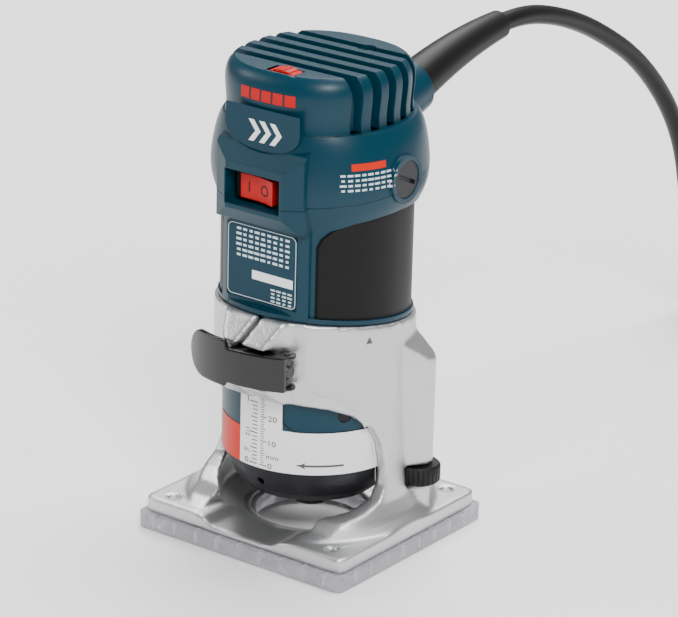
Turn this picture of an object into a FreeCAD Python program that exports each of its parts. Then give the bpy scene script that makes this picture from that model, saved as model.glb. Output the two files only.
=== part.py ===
"""Trim router: a fixed base with a clear sole plate, and a motor that slides in its collar.

Origin on the spindle axis, at the underside of the sole plate. +Z up, -Y to the front (switch and
clamp lever), +X to the right. Millimetres. Each function makes one named sub-part.
"""
import FreeCAD, Part
import math
import os

V = FreeCAD.Vector

# ---- sole plate and foot ----
SOLE_X = 100.5
SOLE_Y = 95.4
SOLE_T = 6.0
SOLE_CORNER_R = 4.0
SOLE_LEDGE = 1.65            # the foot is this much smaller than the sole on each side
GUIDE_BORE_R = 22.0
FOOT_T = 6.3
FOOT_HOLE_R = 23.5
SCREW_X = 38.8
SCREW_Y = 38.0
SCREW_R = 2.0
SCREW_CLEARANCE = 0.1
VALLEY_HALF = 24.0           # half width of the finger valley between two pads
VALLEY_DEPTH = 4.0

# ---- motor barrel and collar ----
BARREL_R = 35.7
LABEL_T = 0.2
SLIDE_GAP = 0.35
COLLAR_WALL = 3.0
BORE_R = BARREL_R + LABEL_T + SLIDE_GAP
COLLAR_R = BORE_R + COLLAR_WALL
RIM_Z = 93.9                 # rim height on the axis; it rises towards the front
RIM_SLOPE = -0.118
LEG_FRONT_Y = -6.0
LEG_REAR_Y = 21.0
WINDOW_TOP_Z = 65.0
REAR_WINDOW_TOP_Z = 58.0
LEG_FLARE = 1.6              # how much the legs swell outward by mid height

# ---- clamp: ears, draw bolt and lever ----
EAR_FRONT_Y = -(COLLAR_R + 7.05)
EAR_LEFT_X = -15.0
EAR_RIGHT_X = 16.5
LEVER_Z0 = 73.3
LEVER_Z1 = 87.2
LEVER_WALL = 1.8
FLANGE_T = 1.3
LEVER_GAP = 0.6
PADDLE_Z0 = 71.5
PADDLE_Z1 = 90.3
LEVER_ARC_R = COLLAR_R + 9.05
LEVER_ARC_X = -2.5
LEVER_ARC_Y = -2.0
LEVER_RIGHT_X = 19.6
LEVER_LEFT_X = -26.5
BOLT_Y = -(COLLAR_R + 0.65)
BOLT_R = 2.0
BOLT_HEAD_R = 3.2
BOLT_HEAD_X0 = 12.4
BOLT_HEAD_X1 = 19.2
BOLT_HEAD_CHAMFER = 1.0
EYE_R = 3.5
PIN_X = 17.2
PIN_R = 1.5
PIN_GAP = 0.05
NUT_X0 = -12.2
NUT_T = 3.8
NUT_R = 3.6

# ---- height adjuster ----
WHEEL_R = 8.7
ADJ_HEADING = math.radians(21.703)
ADJ_REACH = max(COLLAR_R + 4.017, BARREL_R - 2.7 + WHEEL_R + 0.8)
ADJ_X = ADJ_REACH * math.cos(ADJ_HEADING)
ADJ_Y = ADJ_REACH * math.sin(ADJ_HEADING)
BOSS_SLOPE_Z0 = 75.4
BOSS_SLOPE_H = 9.0
WHEEL_Z0 = 24.0
WHEEL_T = 7.4
LEAD_SCREW_R = 2.0
LEAD_GAP = 0.1
ADJ_BOSS_R = 5.6
ADJ_BOSS_Z0 = 32.0
ADJ_BOSS_Z1 = 76.0
FAIRING_ANGLE = 17.0         # the boss blends into the leg this far each side, in degrees
CHANNEL_IN = 9.4             # slot for the nut block, inward and outward of the lead screw
CHANNEL_OUT = 3.2
NUT_BLOCK_Z0 = 37.0
NUT_BLOCK_H = 8.0
HEIGHT_TRAVEL = 28.0

# ---- motor housing ----
HOUSING_WALL = 2.5
CAP_Z0 = 18.0
CAP_Z1 = 34.6
WAIST_R = BARREL_R + 0.9
FLANGE_R = BARREL_R + 2.3
FLANGE_H = 2.0
FLANGE_GAP = 0.35            # shoulder above the collar rim at rest
WAIST_FRONT_Y = -(BARREL_R - 0.9)
WAIST_Z1 = 136.0
PLATE_HALF = 16.6
PLATE_DEPTH = 0.7
PLATE_T = 0.35
PLATE_Z0 = 102.6
PLATE_Z1 = 132.0
BADGE_X = 0.3
BADGE_Y = -(BARREL_R - 0.1)
BADGE_Z0 = 162.8
BADGE_Z1 = 179.4
SHOULDER_Z0 = 136.0
SHOULDER_A = BARREL_R + 5.3  # half width at the shoulder
SHOULDER_Z1 = 171.6
SEAM_Z = 149.0
SEAM_SLOPE = 0.14
SEAM_GAP = 0.05
CROWN_A = BARREL_R - 3.1
TOP_Z = 193.0
GRIP_T = 1.6
GRIP_PROUD = 0.6
GRIP_TOP_Z = 139.5
GRIP_FRONT_Y = -29.3

# ---- crown ribs ----
RIB_PITCH = 9.0
RIB_W = 4.3
RIB_FIRST_Y = -13.3
RIB_COUNT = 4
GROOVE_DEPTH = 4.0
SLOT_W = 1.8

# ---- switch, dial and badge ----
SWITCH_X = -1.2
WINDOW_W = 26.0
WINDOW_Z0 = 141.0
WINDOW_Z1 = 154.6
BROW_Y = -(BARREL_R + 4.3)
BROW_HALF = 20.6
ROCKER_W = 16.4
ROCKER_H = 9.6
ROCKER_Y = BROW_Y + 2.8
ROCKER_PIVOT_Y = BROW_Y + 9.5
ROCKER_AXLE_R = 1.2
DIAL_X = 3.5
DIAL_R = 13.4
DIAL_Z = TOP_Z - 12.4
DIAL_Y0 = BROW_Y + 10.4
DIAL_T = 6.0

# ---- rotor ----
NOSE_R = 7.15
NOSE_Z0 = 10.0
NOSE_H = 12.0
SHAFT_R = 5.0
SHANK_BORE_R = 3.25
LOWER_BEARING = (6.0, 14.0, 8.0)      # inner radius, outer radius, width
LOWER_BEARING_Z = 23.0
UPPER_BEARING = (4.0, 11.0, 7.0)
UPPER_BEARING_Z = 163.0
ARMATURE_R = BARREL_R - HOUSING_WALL - 17.2
STACK_Z0 = 74.0
STACK_H = 52.0
AIR_GAP = 0.5
FAN_R = BARREL_R - HOUSING_WALL - 3.2
FAN_Z0 = 38.0
FAN_H = 9.0
COMMUTATOR_R = 10.0
COMMUTATOR_Z0 = 145.0
COMMUTATOR_H = 14.0

# ---- brush gear ----
BRUSH_Y = 0.0
BRUSH_Z = 152.0
CAP_R = 7.25
CAP_T = 4.0
CAP_FACE_X = SHOULDER_A + 0.6

# ---- lock button ----
LOCK_ANGLE = -33.0
LOCK_Z = 59.0
LOCK_R = 2.6
LOCK_TRAVEL = 2.0

# ---- cord ----
CORD_R = 4.0
NOZZLE_R = 11.0
NOZZLE_Y1 = 59.5
BOOT_R0 = 9.0
BOOT_R1 = 5.9
BOOT_START = (0.0, 59.5, 167.0)
CORD_EXIT = (0.0, 119.0, 179.2)
COIL_X = 36.0
COIL_Y = 348.0
COIL_MEAN_R = 44.0
COIL_COLUMNS = 3
COIL_LAYERS = 3
ROUTE = [CORD_EXIT, (0.0, 134.0, 180.36), (0.3, 161.0, 174.6), (0.0, 192.0, 162.2), (1.5, 230.0, 139.4),
         (3.5, 261.0, 103.5), (-1.0, 281.0, 60.5), (-7.0, 296.7, 24.9), (-11.5, 310.7, 11.4),
         (-15.0, 328.7, 4.05), (-16.0, 348.0, 4.0)]
TAIL = [(19.9, 298.5, 20.0), (-1.3, 310.7, 20.6), (-13.9, 331.8, 23.5), (-14.4, 356.0, 27.5),
        (-3.7, 375.8, 30.5), (13.5, 387.0, 32.0), (34.3, 389.9, 32.0)]
PLUG_L = 34.0
TIE_T = 1.6
TIE_W = 8.0


# ------------------------------------------------------------------ helpers
def box(x0, x1, y0, y1, z0, z1):
    """Box between two corners."""
    return Part.makeBox(x1 - x0, y1 - y0, z1 - z0, V(x0, y0, z0))


def cyl(r, z0, z1, x=0.0, y=0.0):
    """Cylinder about a vertical axis."""
    return Part.makeCylinder(r, z1 - z0, V(x, y, z0))


def cyl_x(r, x0, x1, y, z):
    """Cylinder along X."""
    return Part.makeCylinder(r, x1 - x0, V(x0, y, z), V(1, 0, 0))


def cyl_y(r, y0, y1, x, z):
    """Cylinder along Y."""
    return Part.makeCylinder(r, y1 - y0, V(x, y0, z), V(0, 1, 0))


def cone(r0, r1, z0, z1, x=0.0, y=0.0):
    """Cone about a vertical axis."""
    return Part.makeCone(r0, r1, z1 - z0, V(x, y, z0))


def face_of(points):
    """Flat face through points."""
    return Part.Face(Part.makePolygon([V(*p) for p in points] + [V(*points[0])]))


def prism_x(points, x0, x1):
    """Outline of (y, z) points pushed along X."""
    return face_of([(x0, y, z) for y, z in points]).extrude(V(x1 - x0, 0, 0))


def prism_y(points, y0, y1):
    """Outline of (x, z) points pushed along Y."""
    return face_of([(x, y0, z) for x, z in points]).extrude(V(0, y1 - y0, 0))


def prism_z(points, z0, z1):
    """Outline of (x, y) points pushed along Z."""
    return face_of([(x, y, z0) for x, y in points]).extrude(V(0, 0, z1 - z0))


def turned(points):
    """Profile of (r, z) points turned about the spindle axis."""
    return face_of([(r, 0, z) for r, z in points]).revolve(V(0, 0, 0), V(0, 0, 1), 360)


def ring(r_out, r_in, z0, z1):
    """Flat ring about the spindle axis."""
    return cyl(r_out, z0, z1).cut(cyl(r_in, z0 - 1, z1 + 1))


def vertical_edges(shape):
    """Straight edges that run along Z."""
    found = []
    for edge in shape.Edges:
        ends = [v.Point for v in edge.Vertexes]
        if len(ends) == 2 and abs(ends[0].x - ends[1].x) < 1e-6 and abs(ends[0].y - ends[1].y) < 1e-6:
            found.append(edge)
    return found


def plate(half_x, half_y, z0, z1, corner):
    """Rectangular plate with round corners, centred on the axis."""
    blank = box(-half_x, half_x, -half_y, half_y, z0, z1)
    return blank.makeFillet(corner, vertical_edges(blank))


def above(z_axis, slope, z_top=400.0):
    """Everything above a plane that passes through z_axis and slopes with y."""
    far = 300.0
    return prism_x([(-far, z_axis - slope * far), (far, z_axis + slope * far), (far, z_top), (-far, z_top)],
                   -far, far)


def merge(shapes):
    """Fuse a list into one clean solid."""
    whole = shapes[0].fuse(shapes[1:]) if len(shapes) > 1 else shapes[0]
    return whole.removeSplitter()


def section(z, a, front, rear, power=2.3, count=36):
    """Closed smooth outline at height z: half width a, reach front (-Y) and rear (+Y)."""
    points = []
    for i in range(count):
        t = 2 * math.pi * (i + 0.5) / count
        c = math.cos(t)
        s = math.sin(t)
        reach = rear if s > 0 else front
        x = a * math.copysign(abs(c) ** (2 / power), c)
        y = reach * math.copysign(abs(s) ** (2 / power), s)
        points.append(V(x, y, z))
    curve = Part.BSplineCurve()
    curve.interpolate(Points=points, PeriodicFlag=True)
    return Part.Wire([curve.toShape()])


def loft(sections):
    """Solid through a stack of outlines."""
    return Part.makeLoft(sections, True, False)


def group(shapes):
    """Separate solids kept in one node."""
    return Part.makeCompound(shapes)


# ------------------------------------------------------------------ base
def screw_places():
    """Centres of the four sole screws."""
    return [(sx * SCREW_X, sy * SCREW_Y) for sx in (-1, 1) for sy in (-1, 1)]


def sole_plate():
    """Clear polycarbonate sole with countersunk screw holes and the guide bore."""
    sole = plate(SOLE_X / 2, SOLE_Y / 2, 0, SOLE_T, SOLE_CORNER_R)
    cuts = [cyl(GUIDE_BORE_R, -1, SOLE_T + 1)]
    for x, y in screw_places():
        cuts.append(cyl(SCREW_R + SCREW_CLEARANCE, -1, SOLE_T + 1, x, y))
        cuts.append(cone(2 * SCREW_R + 0.6, SCREW_R + 0.09, -0.01, 2.5, x, y))
    return sole.cut(cuts)


def sole_screws():
    """Four countersunk screws, heads sunk in the sole, ends just inside the foot's top."""
    screws = []
    for x, y in screw_places():
        head = cone(2 * SCREW_R - 0.15, SCREW_R, 0.4, 2.3, x, y)
        shank = cyl(SCREW_R, 2.3, SOLE_T + FOOT_T - 1.0, x, y)
        slot = box(x - 2.6, x + 2.6, y - 0.4, y + 0.4, 0.3, 1.1)
        screws.append(merge([head, shank]).cut(slot))
    return group(screws)


def leg_wall():
    """Collar and legs as one turned wall that swells and flares into the foot."""
    foot_top = SOLE_T + FOOT_T
    swell = COLLAR_R + LEG_FLARE
    profile = [(BORE_R, foot_top - 3.0), (BORE_R, RIM_Z + 12), (COLLAR_R, RIM_Z + 12), (COLLAR_R, 72.0),
               (COLLAR_R + 0.5 * LEG_FLARE, 52.0), (swell, 34.0), (swell + 1.6, 22.0), (swell + 4.4, 16.0),
               (swell + 8.5, foot_top), (swell + 8.5, foot_top - 3.0)]
    return turned(profile)


def window_cuts():
    """Front and rear openings between the two legs."""
    foot_top = SOLE_T + FOOT_T
    far = 80.0
    front = prism_x([(-far, WINDOW_TOP_Z), (-37.0, WINDOW_TOP_Z), (-33.0, WINDOW_TOP_Z - 0.5),
                     (-27.0, WINDOW_TOP_Z - 1.9), (-19.0, WINDOW_TOP_Z - 5.6), (-11.5, WINDOW_TOP_Z - 12.0),
                     (-7.5, WINDOW_TOP_Z - 19.5), (LEG_FRONT_Y, WINDOW_TOP_Z - 29.0),
                     (LEG_FRONT_Y - 0.8, foot_top + 16.0), (LEG_FRONT_Y - 4.0, foot_top + 10.5),
                     (LEG_FRONT_Y - 12.0, foot_top + 7.4), (-27.0, foot_top + 5.2), (-33.0, foot_top + 1.6),
                     (-40.0, foot_top), (-far, foot_top)], -far, far)
    rear = prism_x([(far, REAR_WINDOW_TOP_Z), (36.0, REAR_WINDOW_TOP_Z), (30.0, REAR_WINDOW_TOP_Z - 2.5),
                    (LEG_REAR_Y + 3.0, REAR_WINDOW_TOP_Z - 9.0), (LEG_REAR_Y, REAR_WINDOW_TOP_Z - 18.0),
                    (LEG_REAR_Y, foot_top + 14.0), (LEG_REAR_Y + 3.0, foot_top + 7.0),
                    (30.0, foot_top + 3.0), (39.0, foot_top), (far, foot_top)], -far, far)
    return [front, rear]


def ear_plan(z0, z1):
    """Plan outline of the prow that carries both ears."""
    root = -(COLLAR_R - 6.25)
    return prism_z([(EAR_LEFT_X, root), (EAR_LEFT_X, root - 3.0), (-10.7, EAR_FRONT_Y + 2.0),
                    (-8.5, EAR_FRONT_Y),
                    (10.3, EAR_FRONT_Y), (EAR_RIGHT_X, root - 2.0), (EAR_RIGHT_X, root)], z0, z1)


def ears():
    """Faceted prow with a lug between the lever's flanges."""
    lug_top = LEVER_Z1 - FLANGE_T - LEVER_GAP
    lug_bottom = LEVER_Z0 + FLANGE_T + LEVER_GAP
    top = LEVER_Z1 + LEVER_GAP
    bottom = LEVER_Z0 - LEVER_GAP
    rim_front = RIM_Z - RIM_SLOPE * COLLAR_R
    core_y = -COLLAR_R - 1.0
    root = -(COLLAR_R - 5.25)
    side = [(root, rim_front + 1.0), (-COLLAR_R + 0.6, rim_front), (EAR_FRONT_Y, top + 1.3),
            (EAR_FRONT_Y, top),
            (core_y, top), (core_y, lug_top), (EAR_FRONT_Y + 0.6, lug_top), (EAR_FRONT_Y + 0.6, lug_bottom),
            (core_y, lug_bottom), (core_y, bottom), (EAR_FRONT_Y, bottom), (EAR_FRONT_Y, bottom - 1.3),
            (-COLLAR_R + 0.8, WINDOW_TOP_Z), (root, WINDOW_TOP_Z)]
    return prism_x(side, -30, 30).common(ear_plan(50, 110))


def adjuster_fairing():
    """Flanks that blend the height screw's boss into the right leg."""
    heading = math.degrees(math.atan2(ADJ_Y, ADJ_X))
    outline = []
    for side in (-1, 1):
        root = math.radians(heading + side * FAIRING_ANGLE)
        cheek = math.radians(heading + side * 68.0)
        pair = [((COLLAR_R - 1.5) * math.cos(root), (COLLAR_R - 1.5) * math.sin(root)),
                (ADJ_X + ADJ_BOSS_R * math.cos(cheek), ADJ_Y + ADJ_BOSS_R * math.sin(cheek))]
        outline += pair if side < 0 else pair[::-1]
    return prism_z(outline, ADJ_BOSS_Z0, BOSS_SLOPE_Z0 + BOSS_SLOPE_H)


def adjuster_boss():
    """Bulge on the right leg that houses the height screw, and its lower pivot boss on the foot."""
    top = BOSS_SLOPE_Z0 + BOSS_SLOPE_H
    reach = ADJ_REACH + ADJ_BOSS_R + 0.5
    limit = cyl(reach, 0, BOSS_SLOPE_Z0).fuse(cone(reach, COLLAR_R - 0.6, BOSS_SLOPE_Z0, top))
    upper = cyl(ADJ_BOSS_R, ADJ_BOSS_Z0, top, ADJ_X, ADJ_Y)
    lower = cyl(5.0, SOLE_T + 1.0, WHEEL_Z0 - 0.4, ADJ_X, ADJ_Y)
    return [merge([upper, adjuster_fairing()]).common(limit), lower]


def base_casting():
    """Aluminium die casting: foot, two legs, split collar and ears in one piece."""
    foot_top = SOLE_T + FOOT_T
    half_x = SOLE_X / 2 - SOLE_LEDGE
    half_y = SOLE_Y / 2 - 1.6 * SOLE_LEDGE
    foot = plate(half_x, half_y, SOLE_T, foot_top, SOLE_CORNER_R)
    wall = leg_wall().common(box(-half_x, half_x, -half_y, half_y, SOLE_T, 130))
    wall = wall.cut(window_cuts())
    body = merge([foot, wall] + adjuster_boss() + [ears()])
    valley = [(-VALLEY_HALF, foot_top + 8), (-VALLEY_HALF, foot_top), (-0.8 * VALLEY_HALF, foot_top - 0.8),
              (-0.62 * VALLEY_HALF, foot_top - 0.85 * VALLEY_DEPTH), (-0.45 * VALLEY_HALF,
                                                                      foot_top - VALLEY_DEPTH),
              (0.45 * VALLEY_HALF, foot_top - VALLEY_DEPTH), (0.62 * VALLEY_HALF,
                                                              foot_top - 0.85 * VALLEY_DEPTH),
              (0.8 * VALLEY_HALF, foot_top - 0.8), (VALLEY_HALF, foot_top), (VALLEY_HALF, foot_top + 8)]
    cuts = [cyl(BORE_R, foot_top - 1.0, 140),
            cone(FOOT_HOLE_R + 3.0, BORE_R, SOLE_T + 1.6, foot_top + 0.01),
            cyl(FOOT_HOLE_R, SOLE_T - 1, foot_top + 1),
            prism_y(valley, -80, -18), prism_y(valley, 26, 80),
            above(RIM_Z, RIM_SLOPE)]
    body = body.cut(cuts)
    for x, y in screw_places():
        body = body.cut(cyl(SCREW_R + SCREW_CLEARANCE, 0, foot_top + 5, x, y))
    bend_y = -(COLLAR_R - 2.25)
    tip_y = EAR_FRONT_Y - 2.7
    slit = prism_z([(1.6, bend_y + 7.0), (1.6, bend_y), (-4.6, tip_y), (-1.6, tip_y), (4.4, bend_y),
                    (4.4, bend_y + 7.0)], 55, 120)
    lever_mid = 0.5 * (LEVER_Z0 + LEVER_Z1)
    body = body.cut([slit,
                     cyl_x(BOLT_R + 0.2, -30, 30, BOLT_Y, lever_mid),
                     cyl_x(BOLT_HEAD_R + 0.4, BOLT_HEAD_X0 - 0.2, 24, BOLT_Y, lever_mid),
                     cyl(EYE_R + 0.4, LEVER_Z0 - LEVER_GAP, LEVER_Z1 + LEVER_GAP, PIN_X, BOLT_Y),
                     cyl_x(NUT_R + 0.4, -24, NUT_X0 + NUT_T, BOLT_Y, lever_mid)])
    channel_z1 = NUT_BLOCK_Z0 + NUT_BLOCK_H + HEIGHT_TRAVEL + 1.0
    screw_hole = LEAD_SCREW_R + LEAD_GAP
    channel = box(-CHANNEL_IN, CHANNEL_OUT, -3.4, 3.4, NUT_BLOCK_Z0 - 1.0, channel_z1)
    channel.rotate(V(0, 0, 0), V(0, 0, 1), math.degrees(math.atan2(ADJ_Y, ADJ_X)))
    channel.translate(V(ADJ_X, ADJ_Y, 0))
    body = body.cut([channel, cyl(screw_hole, WHEEL_Z0 - 8, ADJ_BOSS_Z1 - 2.0, ADJ_X, ADJ_Y),
                     cyl(WHEEL_R + 0.6, WHEEL_Z0 - 0.4, WHEEL_Z0 + WHEEL_T + 0.4, ADJ_X, ADJ_Y)])
    return body.removeSplitter()


def lever_outline():
    """Front view of the lever: channel body on the right, tall rounded paddle on the left."""
    mid = 0.5 * (PADDLE_Z0 + PADDLE_Z1)
    half = 0.5 * (PADDLE_Z1 - PADDLE_Z0)
    round_x = LEVER_LEFT_X + 9.0
    points = [(-5.0, PADDLE_Z1)]
    for i in range(13):
        t = math.pi * (0.5 + i / 12.0)
        points.append((round_x + 9.0 * math.cos(t), mid + half * math.sin(t)))
    points += [(-5.0, PADDLE_Z0), (-4.2, LEVER_Z0), (LEVER_RIGHT_X, LEVER_Z0), (LEVER_RIGHT_X, LEVER_Z1),
               (-4.2, LEVER_Z1)]
    return prism_y(points, -70, -25)


def clamp_lever():
    """Curved channel lever; its flanges straddle the ears and turn on the upright pin."""
    outer = cyl(LEVER_ARC_R, PADDLE_Z0 - 1, PADDLE_Z1 + 1, LEVER_ARC_X, LEVER_ARC_Y)
    inner = cyl(LEVER_ARC_R - LEVER_WALL, PADDLE_Z0 - 2, PADDLE_Z1 + 2, LEVER_ARC_X, LEVER_ARC_Y)
    front = outer.cut(inner).common(box(-80, 80, -80, -25, 0, 200)).common(lever_outline())
    parts = [front]
    rear_y = -COLLAR_R - 1.8
    for z0 in (LEVER_Z0, LEVER_Z1 - FLANGE_T):
        web = outer.common(box(-4.2, LEVER_RIGHT_X, -80, rear_y - 0.6, z0, z0 + FLANGE_T))
        eye = cyl(EYE_R, z0, z0 + FLANGE_T, PIN_X, BOLT_Y)
        heel = outer.common(box(PIN_X - EYE_R, LEVER_RIGHT_X, -80, BOLT_Y, z0, z0 + FLANGE_T))
        parts += [web, eye, heel]
    lever = merge(parts)
    return lever.cut(cyl(PIN_R, 60, 100, PIN_X, BOLT_Y))


def lever_pin():
    """Upright pin pressed into the lever and running in the draw bolt's head."""
    return cyl(PIN_R, LEVER_Z0 - 0.2, LEVER_Z1 + 0.3, PIN_X, BOLT_Y)


def draw_bolt():
    """Bolt that pulls the ears together, with a round cross-drilled head."""
    z = 0.5 * (LEVER_Z0 + LEVER_Z1)
    head = cyl_x(BOLT_HEAD_R, BOLT_HEAD_X0, BOLT_HEAD_X1, BOLT_Y, z)
    rims = [e for e in head.Edges if len(e.Vertexes) == 1 and e.Length > BOLT_HEAD_R]
    head = head.makeChamfer(BOLT_HEAD_CHAMFER, rims)
    shank = cyl_x(BOLT_R, NUT_X0 - 0.6, BOLT_HEAD_X0, BOLT_Y, z)
    return merge([head, shank]).cut(cyl(PIN_R + PIN_GAP, 60, 100, PIN_X, BOLT_Y))


def bolt_nut():
    """Hexagon nut sunk in the left ear."""
    z = 0.5 * (LEVER_Z0 + LEVER_Z1)
    corners = [(NUT_X0, BOLT_Y + NUT_R * math.cos(math.radians(60 * i)),
                z + NUT_R * math.sin(math.radians(60 * i)))
               for i in range(6)]
    nut = face_of(corners).extrude(V(NUT_T - 0.1, 0, 0))
    return nut.cut(cyl_x(BOLT_R, -30, 30, BOLT_Y, z))


def height_wheel():
    """Knurled thumbwheel of the height adjuster."""
    wheel = cyl(WHEEL_R, WHEEL_Z0, WHEEL_Z0 + WHEEL_T, ADJ_X, ADJ_Y)
    rims = [e for e in wheel.Edges if e.Length > WHEEL_R and len(e.Vertexes) == 1]
    wheel = wheel.makeChamfer(0.7, rims)
    count = 26
    grooves = []
    for i in range(count):
        t = 2 * math.pi * i / count
        grooves.append(cyl(0.42, WHEEL_Z0 - 1, WHEEL_Z0 + WHEEL_T + 1,
                           ADJ_X + (WHEEL_R + 0.08) * math.cos(t),
                           ADJ_Y + (WHEEL_R + 0.08) * math.sin(t)))
    return wheel.cut(grooves).cut(cyl(LEAD_SCREW_R, 0, 100, ADJ_X, ADJ_Y))


def height_screw():
    """Lead screw that the thumbwheel turns."""
    return cyl(LEAD_SCREW_R, WHEEL_Z0 - 7.0, ADJ_BOSS_Z1 - 3.0, ADJ_X, ADJ_Y)


def height_nut():
    """Nut block that rides on the lead screw and is keyed to the motor barrel."""
    reach = math.hypot(ADJ_X, ADJ_Y)
    block = box(BARREL_R - 1.6, reach + 2.8, -3.0, 3.0, NUT_BLOCK_Z0, NUT_BLOCK_Z0 + NUT_BLOCK_H)
    block = block.cut(cyl(LEAD_SCREW_R + LEAD_GAP, 0, 100, reach, 0))
    block.rotate(V(0, 0, 0), V(0, 0, 1), math.degrees(math.atan2(ADJ_Y, ADJ_X)))
    return block


# ------------------------------------------------------------------ motor casing
def shoulder_solid(inset=0.0):
    """Swollen upper body between the waist and the crown's ledge."""
    a = SHOULDER_A - inset
    front = a - 3.0
    rear = a
    waist = WAIST_R - inset
    return loft([section(SHOULDER_Z0 - 8.0, waist - 0.6, waist - 0.6, waist - 0.6, 2.0),
                 section(SHOULDER_Z0, waist + 0.9, waist, waist + 0.9, 2.05),
                 section(SHOULDER_Z0 + 9.0, a, front, rear - 0.5, 2.15),
                 section(SHOULDER_Z0 + 18.0, a + 0.3, front, rear, 2.2),
                 section(SHOULDER_Z0 + 28.0, a - 1.6, front - 1.0, rear - 0.6, 2.2),
                 section(SHOULDER_Z1, a - 5.6, front - 2.2, rear - 3.4, 2.25)])


def crown_solid(inset, z_top):
    """Rib-topped crown above the ledge, as one smooth block."""
    a = CROWN_A - inset
    return loft([section(SHOULDER_Z1 - 2.0, a + 1.6, a + 3.0, a + 2.4, 2.5),
                 section(0.5 * (SHOULDER_Z1 + z_top), a + 0.8, a + 2.0, a + 1.2, 2.5),
                 section(z_top - 2.6, a, a + 0.6, a - 0.2, 2.5),
                 section(z_top, a - 2.2, a - 1.8, a - 2.6, 2.5)])


def crown():
    """Crown with ribs over the top and down both flanks, made by cutting the grooves between them."""
    core = crown_solid(GROOVE_DEPTH, TOP_Z - GROOVE_DEPTH)
    half = (RIB_PITCH - RIB_W) / 2
    grooves = []
    for i in range(RIB_COUNT + 1):
        y = RIB_FIRST_Y + (i - 0.5) * RIB_PITCH
        grooves.append(box(-60, 60, y - half, y + half, SHOULDER_Z1, TOP_Z + 20).cut(core))
    return crown_solid(0.0, TOP_Z).cut(grooves)


def brow():
    """Housing of the switch window, standing forward with chamfered cheeks."""
    side = [(BROW_Y + 12.0, 168.0), (BROW_Y + 4.5, 164.5), (BROW_Y, WINDOW_Z1 + 3.2),
            (BROW_Y, WINDOW_Z0 - 1.8),
            (BROW_Y + 3.2, WINDOW_Z0 - 7.5), (BROW_Y + 12.0, WINDOW_Z0 - 9.0)]
    plan = [(-BROW_HALF, BROW_Y + 20.0), (-BROW_HALF, BROW_Y + 3.4), (-13.8, BROW_Y), (13.2, BROW_Y),
            (BROW_HALF, BROW_Y + 3.4), (BROW_HALF, BROW_Y + 20.0)]
    return prism_x(side, -60, 60).common(prism_z(plan, 100, 200))


def nozzle():
    """Round nozzle at the rear that the cord boot seats in."""
    start = V(0, 26.0, BOOT_START[2] - (BOOT_START[1] - 26.0) * 0.21)
    end = V(*BOOT_START)
    axis = end.sub(start)
    return Part.makeCone(NOZZLE_R + 3.0, NOZZLE_R, axis.Length, start, axis)


def boot_axis():
    """Direction of the cord boot where it leaves the nozzle."""
    return V(0, 1, 0.21).normalize()


def head_outer():
    """Outside of the whole upper body above the waist."""
    front_trim = box(-60, 60, -70, BROW_Y + 3.8, 158.5, TOP_Z + 20)
    body = shoulder_solid().fuse([crown(), nozzle()]).cut(front_trim)
    return body.fuse([brow()] + brush_turrets())


def head_cavity():
    """Room inside the upper body for the brush gear, switch and electronics."""
    room = merge([shoulder_solid(HOUSING_WALL), crown_solid(GROOVE_DEPTH + HOUSING_WALL,
                                                            TOP_Z - GROOVE_DEPTH - 2.2)])
    return room.cut(box(-60, 60, -70, BROW_Y + 6.8, 100, TOP_Z + 20))


def head_openings():
    """Switch window, dial slot, brush cap holes, badge recess and boot bore."""
    window = box(SWITCH_X - WINDOW_W / 2, SWITCH_X + WINDOW_W / 2, -60, BROW_Y + 11.0, WINDOW_Z0, WINDOW_Z1)
    dial = cyl_y(DIAL_R + 0.6, DIAL_Y0 - 0.7, DIAL_Y0 + DIAL_T + 0.7, DIAL_X, DIAL_Z)
    cuts = [window, dial]
    for side in (-1, 1):
        x0, x1 = sorted((side * (SHOULDER_A - 13.0), side * (SHOULDER_A + 19.0)))
        cuts.append(cyl_x(CAP_R + 0.1, x0, x1, BRUSH_Y, BRUSH_Z))
    start = V(0, 30.0, BOOT_START[2] - (BOOT_START[1] - 30.0) * 0.21)
    cuts.append(Part.makeCylinder(BOOT_R0 + 0.05, 60, start, boot_axis()))
    return cuts


def brush_turrets():
    """Round bosses on both flanks around the brush caps."""
    root = SHOULDER_A - 11.0
    tip = CAP_FACE_X + 0.3
    return [cyl_x(CAP_R + 2.2, root, tip, BRUSH_Y, BRUSH_Z), cyl_x(CAP_R + 2.2, -tip, -root, BRUSH_Y,
                                                                   BRUSH_Z)]


def vent_slots():
    """Slots in the grooves between the ribs, and down the flank grooves."""
    slots = []
    for i in range(RIB_COUNT + 1):
        y = RIB_FIRST_Y + (i - 0.5) * RIB_PITCH
        reach = 24.0 if i != RIB_COUNT else 19.0
        slots.append(box(-reach, -3.0, y - SLOT_W / 2, y + SLOT_W / 2, TOP_Z - 15, TOP_Z + 20))
        slots.append(box(3.0, reach, y - SLOT_W / 2, y + SLOT_W / 2, TOP_Z - 15, TOP_Z + 20))
    return slots


def top_screw_place():
    """Centre of the recessed screw in the crown."""
    return (8.0, RIB_FIRST_Y + 3.5 * RIB_PITCH)


def head_shell():
    """Hollow upper body with its openings, before it is split at the seam."""
    room = head_cavity().common(above(SHOULDER_Z0 - 4.0, 0))
    return head_outer().cut(room).cut(head_openings())


def top_cover(head):
    """Upper shell above the seam: crown, ribs, brow and cord nozzle."""
    x, y = top_screw_place()
    shell = head.common(above(SEAM_Z + SEAM_GAP, SEAM_SLOPE))
    shell = shell.cut(badge_outline(0.15, -70, BADGE_Y))
    shell = shell.fuse(cyl(4.6, 172, TOP_Z - 1.6, x, y)).cut(vent_slots())
    return shell.cut([cyl(3.6, TOP_Z - 6.0, TOP_Z + 20, x, y), cyl(2.1, 160, TOP_Z + 20, x, y)])


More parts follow.
